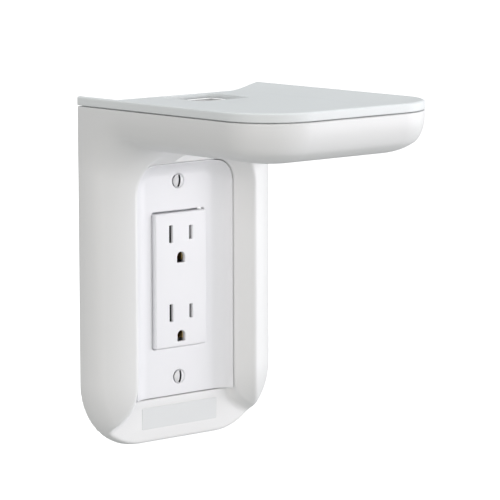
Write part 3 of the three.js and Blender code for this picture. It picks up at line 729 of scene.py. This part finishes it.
def swollen_slope(inset, out, run, rise, bulge):
    """A shallow convex arc from (0, 0) to (run, rise), flat past its top."""
    chord = math.hypot(run, rise)
    radius = chord ** 2 / (8 * bulge) + bulge / 2
    middle = np.array((run / 2, rise / 2))
    normal = np.array((-rise, run)) / chord
    centre = middle - normal * (radius - bulge)
    return hypot(np.minimum(inset, centre[0]) - centre[0], out - centre[1]) - radius


def wall_inset(x, z):
    """How far a point lies inside the surround's outline, seen from the front."""
    p = np.abs(x) - (HALF_WIDTH - BOTTOM_CORNER)
    q = BOTTOM + BOTTOM_CORNER - z
    return -rounded_corner(p, q, BOTTOM_CORNER)


def shelf_inset(x, d):
    """How far a point lies inside the shelf's outline, seen from above."""
    p = np.abs(x) - (HALF_WIDTH - FRONT_CORNER)
    q = d - (SHELF_DEPTH - FRONT_CORNER)
    return -rounded_corner(p, q, FRONT_CORNER)


def outer_shell(x, d, z, shrink=0.0):
    around_wall = wall_inset(x, z)
    around_shelf = shelf_inset(x, d)
    rise = CREST_DEPTH - BAND_DEPTH
    face = swollen_slope(around_wall, d - BAND_DEPTH, CREST_INSET, rise, CREST_BULGE)
    drop = SHELF_BAND - BELLY
    belly = swollen_slope(around_shelf, SHELF_BAND - z, BELLY_INSET, drop, BELLY_BULGE)
    front = either(face, belly, WEB_RADIUS)
    sides = np.maximum(-around_wall, -around_shelf)
    return both(front, sides, BAND_ROUND) + shrink


def flare_edge(depth_share):
    """The recess's side edge near the bottom at one depth: x beyond the straight side, by z."""
    t = np.linspace(0, 1, FLARE_POINTS)
    weights = ((1 - t) ** 3, 3 * t * (1 - t) ** 2, 3 * t ** 2 * (1 - t), t ** 3)
    low, high = 1 - depth_share, depth_share
    across = sum(w * (sill[0] * low + crest[0] * high) for w, (sill, crest) in zip(weights, FLARE))
    height = sum(w * (sill[1] * low + crest[1] * high) for w, (sill, crest) in zip(weights, FLARE))
    return across, height


def flare(z, share):
    """How far the recess's side has opened at a height, for a share of the depth from sill to crest."""
    edges = []
    for depth_share in (0.0, 1.0):
        across, height = flare_edge(depth_share)
        last_slope = (across[-1] - across[-2]) / (height[-1] - height[-2])
        edge = np.interp(z, height[::-1], across[::-1])
        edges.append(np.where(z < height[-1], across[-1] + (z - height[-1]) * last_slope, edge))
    return edges[0] * (1 - share) + edges[1] * share


def recess(x, d, z, grow=0.0):
    """The open recess: straight sides by the cover, then sloping out, flared at the bottom."""
    opened = np.maximum(d - COVER_RIM, 0)
    share = (d - SILL_DEPTH) / (CREST_DEPTH - SILL_DEPTH)
    half = COVER_HALF + GAP + opened * SIDE_OPENING
    top = COVER_TOP + GAP + opened * TOP_OPENING
    corner = COVER_CORNER + GAP + opened * CORNER_OPENING
    spread = flare(z, share)
    steep = (flare(z - 0.5, share) - flare(z + 0.5, share)) ** 2 + (opened > 0) * SIDE_OPENING ** 2
    across = (flare(z, share + 0.035) - flare(z, share - 0.035)) ** 2
    p = np.abs(x) - (half - corner) - spread
    q = z - (top - corner)
    edge = rounded_corner(p, q, corner)
    return np.maximum(edge / np.sqrt(1 + steep + across) - grow, d - RECESS_END)


def cover_arch(x, z, gap=0.0):
    """The cover's sides and rounded top, open at the bottom."""
    corner = COVER_CORNER + gap
    p = np.abs(x) - (COVER_HALF + gap - corner)
    q = z - (COVER_TOP + gap - corner)
    return rounded_corner(p, q, corner)


def cover_pocket(x, z, grow=0.0):
    return np.maximum(cover_arch(x, z, GAP), COVER_BOTTOM - GAP - z) - grow


def plane_through(u, v, start, end):
    """Signed distance to a line, positive on the right of the way from start to end."""
    along = np.array(end) - np.array(start)
    length = math.hypot(*along)
    return ((u - start[0]) * along[1] - (v - start[1]) * along[0]) / length


def cord_pass(x, d, z, grow=0.0):
    """The cord's way: wide at the deck, narrowing back to the top of the recess."""
    rear = np.maximum(PASS_D[0] - d, -plane_through(d, z, PASS_REAR_LOW, PASS_REAR_HIGH))
    front = np.maximum(d - PASS_D[1], plane_through(d, z, PASS_FRONT_LOW, PASS_FRONT_HIGH))
    floor = np.maximum(plane_through(d, z, PASS_FLOOR, PASS_FRONT_LOW), PASS_FLOOR[1] - z)
    sides = span(x, *PASS_X)
    return both(both(sides, front, 4.0), np.maximum(rear, floor)) - grow


def housing_field(x, d, z):
    body = outer_shell(x, d, z)
    hollow_skin = outer_shell(x, d, z, WALL)
    open_recess = both(recess(x, d, z), SILL_DEPTH - d, 1.2)
    pocket = np.maximum(cover_pocket(x, z), span(d, COVER_BACK - GAP, COVER_RIM + 1))
    way = cord_pass(x, d, z)
    kept = np.maximum(recess(x, d, z, WALL), SILL_DEPTH - WALL - d)
    kept = either(kept, np.maximum(cover_pocket(x, z, WALL), span(d, LEDGE_BACK, COVER_RIM)))
    kept = either(kept, cord_pass(x, d, z, PASS_SKIN))
    kept = either(kept, ribs(x, d, z))
    kept = np.maximum(kept, z - (DECK_UNDER - GAP))
    hollow = without(hollow_skin, kept, 0.8)
    shell = without(body, open_recess, CREST_ROUND)
    shell = without(shell, hollow)
    shell = without(shell, pocket, 0.25)
    shell = without(shell, way, 0.8)
    box = np.maximum(round_rect(x, z, *BOX_HALF, BOX_CORNER), d - COVER_BACK - 1)
    shell = without(shell, box)
    badge = round_rect(x, z - BADGE_Z, BADGE_HALF[0] + BADGE_FIT, BADGE_HALF[1] + BADGE_FIT, 0.6)
    shell = without(shell, np.maximum(badge, BADGE_D[0] - GAP - d))
    return np.maximum(shell, np.maximum(-d, z - PARTING))


def ribs(x, d, z):
    """Ribs across the cheeks and along and across the shelf, and the catches for the snap hooks."""
    cheek = np.maximum(span(np.abs(x), *CHEEK_RIB_X), span(d, *CHEEK_RIB_D))
    cheek = np.maximum(cheek, np.abs(z) - RIB_HALF)
    high = span(z, *SHELF_RIB_Z)
    along = np.maximum(np.abs(np.abs(x) - LONG_RIB_X) - RIB_HALF, np.maximum(span(d, *LONG_RIB_D), high))
    cross = np.maximum(np.abs(x) - CROSS_RIB[0], np.maximum(np.abs(d - CROSS_RIB[1]) - RIB_HALF, high))
    inward = HALF_WIDTH - WALL - HOOK_REACH - np.abs(x)
    catches = np.maximum(np.maximum(inward, span(z, *CATCH_Z)), catch_row(d) - HOOK_HALF - 0.5)
    return np.minimum(np.minimum(cheek, along), np.minimum(cross, catches))


def make_housing():
    step = 0.75
    piece = field_piece(
        "housing_shell",
        housing_field,
        (-HALF_WIDTH, 0, BOTTOM),
        (HALF_WIDTH, SHELF_DEPTH, PARTING),
        step,
        "shell",
        thin=FLAT_TILT,
    )
    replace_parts(piece, "housing")


# ---------------- cover, badge, screws


def cover_field(x, d, z):
    arch = cover_arch(x, z)
    outline = np.maximum(arch, COVER_BOTTOM - z)
    slab = both(outline, span(d, COVER_BACK, COVER_RIM), 0.5)
    rise = COVER_RIM - COVER_FLAT
    radius = (COVE_INSET ** 2 + rise ** 2) / (2 * rise)
    squeeze = COVE_TOP_INSET / COVE_INSET
    side = COVER_HALF - COVE_INSET
    top = COVER_TOP - COVE_TOP_INSET
    bend = COVER_CORNER - COVE_TOP_INSET
    u = np.maximum(np.abs(x) - (side - bend), 0)
    v = np.maximum(z - (top - bend), 0)
    away = np.maximum(hypot(u, v) - bend, 0)
    lean = np.where(u + v > 0, v / np.maximum(hypot(u, v), 1e-6), 0)
    scale = 1 - (1 - squeeze) * lean ** 2
    lift = hypot(away / scale, np.minimum(d - COVER_FLAT - radius, 0)) - radius
    cove = np.where(d < COVER_FLAT + radius, lift, away / scale - radius)
    body = without(slab, cove * scale, 0.35)
    spare = WINDOW_SPARE / 2
    window = round_rect(x, z - spare, FACE_HALF[0] + GAP, FACE_HALF[1] + GAP + spare, 1.2)
    body = without(body, window, 0.3)
    edge = np.maximum(span(arch, -0.1, GAP), span(d, COVER_BACK, COVER_RIM - 0.2))
    body = np.minimum(body, np.maximum(edge, np.maximum(x - LIP_END, LIP_LOW - z)))
    for end in (-1, 1):
        around = hypot(x, z - end * COVER_SCREW_Z)
        cone = np.maximum((around - SINK_HOLE - (d - SINK_DEPTH) * 0.98) * 0.71, around - SINK_TOP)
        hole = np.minimum(around - SINK_HOLE, np.maximum(cone, SINK_DEPTH - d))
        body = without(body, hole, 0.12)
    return body


def make_cover():
    piece = field_piece(
        "cover_plate",
        cover_field,
        (-COVER_HALF, COVER_BACK, COVER_BOTTOM),
        (COVER_HALF, COVER_RIM, COVER_TOP),
        0.42,
        "cover",
        thin=FLAT_TILT,
    )
    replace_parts(piece, "outlet_cover")


def make_badge():
    def field(x, d, z):
        panel = round_rect(x, z - BADGE_Z, *BADGE_HALF, 0.5)
        return both(panel, span(d, *BADGE_D), 0.15)

    piece = field_piece(
        "badge_plate",
        field,
        (-BADGE_HALF[0], BADGE_D[0], BADGE_Z - BADGE_HALF[1]),
        (BADGE_HALF[0], BADGE_D[1], BADGE_Z + BADGE_HALF[1]),
        0.13,
        "badge",
        thin=FLAT_TILT,
    )
    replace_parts(piece, "badge_panel")


def oval_screw_field(end, x, d, z):
    high = z - end * COVER_SCREW_Z
    around = hypot(x, high)
    dome = hypot(around, d - (COVER_SCREW_TOP - COVER_SCREW_DOME)) - COVER_SCREW_DOME
    under = (around - COVER_SCREW_HEAD + (5.95 - d)) * 0.707
    head = both(np.maximum(dome, under), around - COVER_SCREW_HEAD, 0.15)
    head = np.maximum(head, 4.0 - d)
    thread = helical_thread(x, high, d, COVER_SCREW_SHANK, SCREW_PITCH, 0.14)
    tip = (around - 1.6 - 0.6 * (d - COVER_SCREW_END)) * 0.85
    shank = np.maximum(np.maximum(thread, tip), span(d, COVER_SCREW_END, 5.2))
    body = either(head, shank, 0.2)
    tilted = x * math.cos(SCREW_TILT) + high * math.sin(SCREW_TILT)
    groove = np.maximum(np.abs(tilted) - 0.55, 5.6 - d)
    return without(body, groove, 0.06)


def make_cover_screw(name, end):
    z = end * COVER_SCREW_Z
    piece = field_piece(
        "white_screw_" + name,
        partial(oval_screw_field, end),
        (-3.3, COVER_SCREW_END, z - 3.3),
        (3.3, COVER_SCREW_TOP, z + 3.3),
        0.11,
        "paint",
    )
    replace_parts(piece, "cover_screw_" + name)


# ---------------- receptacle face


def ground_hole(x, z, outlet, radius):
    """Seen from the front: round at the top and square at the bottom."""
    high = z - (outlet * OUTLET_Z - GROUND_DROP)
    arch = hypot(x, np.maximum(high - 0.2, 0)) - radius
    return np.maximum(arch, -GROUND_FLAT - high)


def face_field(x, d, z):
    outline = round_rect(x, z, *FACE_HALF, 1.0)
    body = both(outline, FACE_D[0] - d)
    body = both(body, d - FACE_D[1], 0.9)
    for outlet in (1, -1):
        slots = z - outlet * OUTLET_Z - SLOT_RAISE
        pocket = np.maximum(span(x, *SHUTTER_POCKET_X), np.abs(slots) - SHUTTER_POCKET_HALF)
        pocket = np.maximum(pocket, d - (FACE_D[1] - FACE_SKIN))
        body = without(body, pocket)
        for side, height in SLOT_HEIGHTS.items():
            slot = round_rect(x - side * SLOT_X, slots, SLOT_HALF, height / 2, 0.2)
            body = without(body, slot, 0.22)
        body = without(body, ground_hole(x, z, outlet, GROUND_RADIUS), 0.22)
        low = z - outlet * OUTLET_Z + GROUND_DROP
        across, up = GROUND_POCKET
        behind = brick(x, d, low, centred(across), (0, FACE_D[1] - GROUND_SKIN), centred(up), 0.3)
        body = without(body, behind)
    for side in (-1, 1):
        body = without(body, np.maximum(hypot(x - side * RIVET_X, z) - RIVET_CLEAR, d - 5.4))
    return body


def make_face():
    piece = field_piece(
        "outlet_face",
        face_field,
        *corners_of(FACE_HALF, FACE_D),
        0.24,
        "face",
        thin=FLAT_TILT,
    )
    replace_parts(piece, "receptacle_face")


# ---------------- deck


def catch_row(d):
    """Distance along the shelf from the nearest snap hook's middle."""
    nearest = np.abs(d - HOOK_D[0])
    for place in HOOK_D[1:]:
        nearest = np.minimum(nearest, np.abs(d - place))
    return nearest


def hooks(x, d, z):
    """Snap hooks under the deck, each with a sloped barb that clicks under a catch in the shell."""
    outer = HALF_WIDTH - WALL - HOOK_REACH - GAP
    near = catch_row(d) - HOOK_HALF
    stem = np.maximum(span(np.abs(x), outer - HOOK_THICK, outer), span(z, HOOK_LOW, DECK_UNDER + 0.5))
    barb = np.maximum(span(np.abs(x), outer - 1, HALF_WIDTH - WALL - GAP), z - HOOK_LOW - BARB_HEIGHT)
    lead = (np.abs(x) - outer - BARB_LEAD * (z - HOOK_LOW)) * 0.894
    return both(np.minimum(stem, np.maximum(np.maximum(barb, HOOK_LOW - z), lead)), near, 0.3)


def deck_field(x, d, z):
    inset = shelf_inset(x, d)
    fall = ((z - RIM) + RIM_SLOPE * (inset - RIM_TOP)) / math.hypot(1, RIM_SLOPE)
    top = either(z - DECK, both(z - RIM, fall, RIM_ROUND), TRAY_ROUND)
    plate = both(both(top, -inset, DECK_ROUND), PARTING + GAP - z, 0.25)
    plug = both(WALL + GAP + PLUG_FIT - inset, DECK_UNDER - z, 0.3)
    body = np.minimum(plate, np.maximum(plug, z - PARTING - 1))
    body = np.maximum(np.minimum(body, hooks(x, d, z)), -d)
    middle = sum(PASS_X) / 2, sum(PASS_D) / 2
    half = (PASS_X[1] - PASS_X[0]) / 2, (PASS_D[1] - PASS_D[0]) / 2
    return without(body, round_rect(x - middle[0], d - middle[1], *half, 3.0), 0.9)


def make_deck():
    piece = field_piece(
        "deck_tray",
        deck_field,
        (-HALF_WIDTH, 0, HOOK_LOW),
        (HALF_WIDTH, SHELF_DEPTH, RIM),
        0.5,
        "deck",
        thin=DECK_TILT,
    )
    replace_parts(piece, "shelf_deck")


# ---------------- receptacle's works


def shutter_field(outlet, x, d, z):
    middle = outlet * OUTLET_Z + SLOT_RAISE
    high = z - middle
    heights = centred(SHUTTER_HALF)
    plate = brick(x, d, high, SHUTTER_X, (SHUTTER_D[0], SHUTTER_LOW), heights, 0.3)
    raised = brick(x, d, high, (SHUTTER_STEP, SHUTTER_X[1]), SHUTTER_D, heights, 0.3)
    plate = either(plate, raised, 0.4)
    for side in (-1, 1):
        across = x - side * SLOT_X + SHUTTER_TRAVEL
        ramp = np.clip((d - SHUTTER_D[0]) / (SHUTTER_D[1] - SHUTTER_D[0]), 0, 1)
        wide, tall = SHUTTER_WINDOW
        sides = np.maximum(across - wide, -across - wide - SHUTTER_RAMP * ramp)
        plate = without(plate, np.maximum(sides, np.abs(high) - tall), 0.15)
    seat = hypot(d - sum(SHUTTER_D) / 2, high)
    reach = span(x, SHUTTER_X[1] - 0.5, SHUTTER_X[1] + NUB_RADIUS)
    nub = both(seat - NUB_RADIUS, reach, 0.15)
    return np.minimum(plate, nub)


def make_shutters():
    for name, outlet in (("upper", 1), ("lower", -1)):
        middle = outlet * OUTLET_Z + SLOT_RAISE
        piece = field_piece(
            "slot_shutter_" + name,
            partial(shutter_field, outlet),
            (SHUTTER_X[0], SHUTTER_D[0], middle - SHUTTER_HALF),
            (SHUTTER_X[1] + 0.5, SHUTTER_D[1], middle + SHUTTER_HALF),
            0.15,
            "shutter",
            body="shutter_" + name,
            thin=FLAT_TILT,
        )
        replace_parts(piece, "shutter_" + name)


def tube(name, path, radius, sides, slot):
    """A closed round wire along a list of points."""
    points = [Vector(point) for point in path]
    work = bmesh.new()
    rings = []
    for i, point in enumerate(points):
        ahead = points[min(i + 1, len(points) - 1)] - points[max(i - 1, 0)]
        outward = ahead.cross(Vector((1, 0, 0))).normalized()
        upward = outward.cross(ahead).normalized()
        ring = []
        for k in range(sides):
            angle = 2 * math.pi * k / sides
            spoke = outward * math.cos(angle) + upward * math.sin(angle)
            ring.append(work.verts.new(point + spoke * radius))
        rings.append(ring)
    for first, second in zip(rings, rings[1:]):
        for k in range(sides):
            work.faces.new((first[k], first[(k + 1) % sides], second[(k + 1) % sides], second[k]))
    work.faces.new(rings[0][::-1])
    work.faces.new(rings[-1])
    bmesh.ops.recalc_face_normals(work, faces=work.faces)
    mesh = bpy.data.meshes.new(name)
    work.to_mesh(mesh)
    work.free()
    mesh.shade_smooth()
    mesh.set_sharp_from_angle(angle=math.radians(60))
    piece = bpy.data.objects.new(name, mesh)
    bpy.context.collection.objects.link(piece)
    finish_piece(piece, slot, ROOT)
    return piece


def make_springs():
    """Return springs: a closed turn at each end and open turns between, squeezed as the shutter slides."""
    start, end = SPRING_X
    for name, outlet in (("upper", 1), ("lower", -1)):
        height = outlet * OUTLET_Z + SLOT_RAISE
        depth = sum(SHUTTER_D) / 2
        path = []
        steps = 28 * SPRING_TURNS
        for i in range(steps + 1):
            turn = SPRING_TURNS * i / steps
            share = min(max((turn - 0.8) / (SPRING_TURNS - 1.6), 0), 1)
            along = start + SPRING_WIRE + (end - start - 2 * SPRING_WIRE) * share
            angle = 2 * math.pi * turn
            out = -depth + SPRING_RADIUS * math.cos(angle)
            up = height + SPRING_RADIUS * math.sin(angle)
            path.append(Vector((along, out, up)) * MM)
        piece = tube("return_spring_" + name, path, SPRING_WIRE * MM, 10, "spring")
        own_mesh(piece)
        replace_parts(piece, "shutter_spring_" + name)


def retainer_field(x, d, z):
    """The plate behind the shutters."""
    across, up = RETAINER_HALF
    plate = brick(x, d, z, centred(across), (RETAINER_BACK, FACE_D[0] - GAP), centred(up), 0.25)
    for outlet in (-1, 1):
        slots = outlet * OUTLET_Z + SLOT_RAISE
        wide, tall = RETAINER_BLADE
        blades = np.maximum(np.abs(np.abs(x) - SLOT_X) - wide, np.abs(z - slots) - tall)
        plate = without(plate, blades, 0.2)
        low = z - outlet * OUTLET_Z + GROUND_DROP
        plate = without(plate, round_rect(x, low, *RETAINER_GROUND, 0.4), 0.2)
    plate = without(plate, hypot(np.abs(x) - RIVET_X, z) - RETAINER_PIN, 0.15)
    waist = np.maximum(RETAINER_WAIST[0] - np.abs(x), np.abs(z) - RETAINER_WAIST[1])
    return without(plate, waist, 0.15)


def strap_field(x, d, z):
    """The steel yoke, with plaster ears scored to snap off and a bent tab for the grounding screw."""
    plate = both(round_rect(x, z, *STRAP_HALF, 2.5), span(d, *STRAP_D), 0.25)
    across, up = STRAP_WINDOW
    plate = without(plate, np.maximum(np.abs(x) - across, np.abs(z) - up), 0.2)
    ends = np.abs(z)
    plate = without(plate, hypot(x, ends - COVER_SCREW_Z) - STRAP_HOLE, 0.15)
    reach, radius = STRAP_SLOT
    slot = hypot(np.maximum(np.abs(x) - reach, 0), ends - BOX_SCREW_Z) - radius
    plate = without(plate, slot, 0.15)
    start, slope, start_x, deep, inner = EAR_SCORE
    score = hypot(ends - start - slope * (np.abs(x) - start_x), d - STRAP_D[0]) - deep
    plate = without(plate, np.maximum(score, inner - np.abs(x)), 0.1)
    dimple_x, dimple_z, dimple_radius = EAR_DIMPLE
    plate = without(plate, hypot(np.abs(x) - dimple_x, ends - dimple_z) - dimple_radius, 0.15)
    tab = brick(x, d, z, EARTH_TAB_X, (-8, STRAP_D[1] - 0.2), EARTH_TAB_Z, 0.3)
    tab = without(tab, hypot(x - EARTH_SCREW[0], d - EARTH_SCREW[1]) - TERMINAL_HOLE, 0.12)
    return either(plate, tab, 0.6)


def base_field(x, d, z):
    """The insulating body: a moulded box with a seam, wire holes and openings for the terminal plates."""
    back = BASE_D[0]
    corner = round_rect(x, z, *BASE_HALF, 2.0)
    body = both(corner, span(d, *BASE_D), 0.7)
    body = without(body, hypot(corner, d - BASE_SEAM[0]) - BASE_SEAM[1], 0.1)
    foot_x, foot_z, foot_rise = BASE_FOOT
    foot = both(round_rect(x, z, foot_x, foot_z, 1.5), span(d, back - foot_rise, back + 1), 0.3)
    body = either(body, foot, 0.5)
    inside = both(round_rect(x, z, *BASE_INSIDE, 1.2), back + BASE_FLOOR - d, 0.8)
    body = without(body, inside, 0.3)
    body = without(body, brick(np.abs(x), d, z, *PLATE_OPENING), 0.25)
    hole_x, hole_z = WIRE_HOLE
    around = hypot(np.abs(x) - hole_x, np.abs(z) - hole_z)
    funnel = (around - WIRE_FUNNEL + (d - back)) * 0.707
    deep = d - back - BLIND_DEPTH
    body = without(body, np.maximum(np.minimum(around - WIRE_HOLE_RADIUS, funnel), deep), 0.1)
    wide, tall = RELEASE_HALF
    release = np.maximum(np.abs(np.abs(x) - hole_x) - wide, np.abs(np.abs(z) - RELEASE_Z) - tall)
    body = without(body, np.maximum(release, deep), 0.12)
    return without(body, hypot(np.abs(x) - RIVET_X, z) - RIVET_CLEAR, 0.15)


def grip_field(across, d, high, fold):
    """One outlet's share of a contact: two spring grips, the floor between them and an arm to the strip."""
    pinch = np.abs(across - SLOT_X) - 0.18 * np.cos((d + 7.5) * 0.7)
    tall = centred(GRIP_HALF)
    grips = brick(pinch, d, high, GRIP_GAP, STRIP_D, tall, fold)
    floor = brick(across, d, high, (SLOT_X - 2, SLOT_X + 2), GRIP_FLOOR, tall, fold)
    arm = brick(across, d, high, *GRIP_ARM, tall, fold)
    return either(either(grips, floor, 0.4), arm, 0.3)


def contact_field(side, x, d, z):
    """A stamped strip: a plate for two terminal screws outside, and two pairs of spring grips inside."""
    across = x * side
    ends = np.abs(z)
    fold = 0.2
    strip = brick(across, d, z, STRIP_X, STRIP_D, centred(STRIP_HALF), fold)
    outside = brick(across, d, z, PLATE_X, PLATE_D, centred(PLATE_HALF), fold)
    bridge = brick(across, d, ends, (STRIP_X[0], PLATE_X[1]), BRIDGE_D, BRIDGE_Z, fold)
    shape = either(either(strip, bridge, 0.4), outside, 0.4)
    shape = without(shape, hypot(ends - TERMINAL_Z, d - TERMINAL_D) - TERMINAL_HOLE, 0.1)
    for outlet in (-1, 1):
        high = z - outlet * OUTLET_Z - SLOT_RAISE
        shape = either(shape, grip_field(across, d, high, fold), 0.3)
    return shape


def ground_contact_field(x, d, z):
    shape = brick(x, d, z, *EARTH_STRIP, 0.2)
    for outlet in (-1, 1):
        high = z - outlet * OUTLET_Z + GROUND_DROP
        splay = np.abs(x) - 0.25 * np.clip((d - 1.5) / 3.7, 0, 1) ** 2
        shape = either(shape, brick(splay, d, high, *EARTH_GRIP, 0.2), 0.5)
    return shape


def binding_screw_field(u, v, along, head):
    """A wide low screw head with a crossed recess and one long slot, and a short threaded shank."""
    dome = hypot(u, v, along + 6.0) - 8.0
    cap = both(np.maximum(hypot(u, v) - head, dome), -along, 0.15)
    thread = helical_thread(u, v, along, TERMINAL_SHANK - 0.12, SCREW_PITCH, 0.12)
    shape = np.minimum(cap, np.maximum(thread, span(along, -1.2, 0.5)))
    slot = np.maximum(np.abs(u) - SCREW_DRIVE, 1.15 - along)
    cross = np.maximum(np.maximum(np.abs(v) - SCREW_DRIVE, np.abs(u) - head * 0.6), 0.95 - along)
    return without(shape, np.minimum(slot, cross), 0.08)


def box_screw_field(end, x, d, z):
    v = z - end * BOX_SCREW_Z
    around = hypot(x, v)
    dome = hypot(around, d + 4.3) - 7.3
    head = both(np.maximum(around - BOX_SCREW_HEAD, dome), BOX_SCREW_SEAT - d, 0.15)
    thread = helical_thread(x, v, d, BOX_SCREW_SHANK, SCREW_PITCH, 0.14)
    tip = (around - 1.7 - 0.7 * (d - BOX_SCREW_END) + 0.5) * 0.82
    rod = np.maximum(np.maximum(thread, span(d, BOX_SCREW_END, 2.2)), tip)
    groove = np.maximum(np.abs(x) - 0.4, 2.45 - d)
    return without(np.minimum(head, rod), groove, 0.06)


def screw_retainer_field(end, x, d, z):
    v = z - end * BOX_SCREW_Z
    pad = both(round_rect(x, v, *KEEPER_HALF, 1.0), span(d, *KEEPER_D), 0.12)
    hole = hypot(x, v)
    pad = without(pad, hole - STRAP_HOLE, 0.08)
    slits = np.maximum(np.minimum(np.abs(x + v), np.abs(x - v)) * 0.707 - 0.12, hole - 3.0)
    return without(pad, slits)


def rivet_field(side, x, d, z):
    around = hypot(x - side * RIVET_X, z)
    back = BASE_D[0] - GAP
    head = both(around - RIVET_HEAD, np.maximum(d - back, -(d - back) - RIVET_THICK), 0.25)
    rod = both(around - RIVET_PIN, np.maximum(d - RIVET_FRONT, back - d), 0.2)
    dimple = hypot(around, d - back + 1.3) - 0.9
    return without(either(head, rod, 0.2), dimple, 0.1)


def terminal_field(side, height, x, d, z):
    return binding_screw_field(z - height, d - TERMINAL_D, side * x - TERMINAL_X, TERMINAL_HEAD)


def earth_screw_field(x, d, z):
    middle, depth, seat = EARTH_SCREW
    return binding_screw_field(x - middle, d - depth, seat - z, EARTH_SCREW_HEAD)


# Piece, CAD node, field, low and high corners in x, d and z, grid step and material slot.
PLATES = (
    ("slot_backing", "shutter_retainer", retainer_field, *corners_of(RETAINER_HALF, (RETAINER_BACK, 2.3)),
     0.22, "base"),
    ("yoke", "mounting_strap", strap_field, *corners_of(STRAP_HALF, (-8, STRAP_D[1])), 0.28, "steel"),
    ("body_box", "receptacle_base", base_field, *corners_of(BASE_HALF, (-24.6, 0)), 0.36, "base"),
    ("hot_strip", "line_contact", partial(contact_field, 1),
     (4, -12.6, -26), (17.4, -2, 26.5), 0.22, "brass"),
    ("return_strip", "neutral_contact", partial(contact_field, -1),
     (-17.4, -12.6, -26), (-4, -2, 26.5), 0.22, "contact_steel"),
    ("earth_strip", "ground_contact", ground_contact_field, (-3.6, -14.5, -29.7), (3.6, 5.2, 13), 0.2,
     "brass"),
)


def make_works():
    """The receptacle's frame, body, contacts and fastenings."""
    rough = 1.0

    def add(name, node, field, low, high, step, slot, thin=0.0):
        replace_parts(field_piece(name, field, low, high, step * rough, slot, thin=thin), node)

    for row in PLATES:
        add(*row, thin=FLAT_TILT)
    for side, name, slot in ((1, "line", "brass"), (-1, "neutral", "steel")):
        for end, level in ((1, "upper"), (-1, "lower")):
            height = end * TERMINAL_Z
            near, far = sorted(side * place for place in TERMINAL_SPAN)
            low = (near, TERMINAL_D - TERMINAL_HEAD, height - TERMINAL_HEAD)
            high = (far, TERMINAL_D + TERMINAL_HEAD, height + TERMINAL_HEAD)
            field = partial(terminal_field, side, height)
            add(f"{name}_terminal_{level}", f"{name}_screw_{level}", field, low, high, 0.13, slot)
    add("earth_terminal", "ground_screw", earth_screw_field, (-15.6, -7.7, -36.95), (-9.4, -1.5, -33.7), 0.13,
        "green_screw")
    for end, level in ((1, "upper"), (-1, "lower")):
        height = end * BOX_SCREW_Z
        low = (-BOX_SCREW_HEAD, BOX_SCREW_END, height - BOX_SCREW_HEAD)
        high = (BOX_SCREW_HEAD, 3.0, height + BOX_SCREW_HEAD)
        field = partial(box_screw_field, end)
        add(f"yoke_screw_{level}", f"box_screw_{level}", field, low, high, 0.15, "steel")
        across, up = KEEPER_HALF
        low = (-across, KEEPER_D[0], height - up)
        high = (across, KEEPER_D[1], height + up)
        field = partial(screw_retainer_field, end)
        add(f"screw_keeper_{level}", f"screw_retainer_{level}", field, low, high, 0.12, "fibre", FLAT_TILT)
    for side, hand in ((1, "right"), (-1, "left")):
        middle = side * RIVET_X
        low = (middle - RIVET_HEAD, -25, -RIVET_HEAD)
        high = (middle + RIVET_HEAD, RIVET_FRONT, RIVET_HEAD)
        field = partial(rivet_field, side)
        add(f"rivet_pin_{hand}", f"receptacle_rivet_{hand}", field, low, high, 0.14, "steel")


# ---------------- carried-over nodes


def finish_cad_nodes():
    slots = {row["node"]: row["material_slot"] for row in frame["record"]["subparts"]}
    for name, node in frame["nodes"].items():
        for place in node.material_slots:
            place.material = MATERIALS[slots[name]]


# ---------------- make everything

add_camera()
add_studio()
finish_cad_nodes()
make_housing()
make_cover()
make_badge()
make_cover_screw("upper", 1)
make_cover_screw("lower", -1)
make_face()
make_deck()
make_shutters()
make_springs()
make_works()
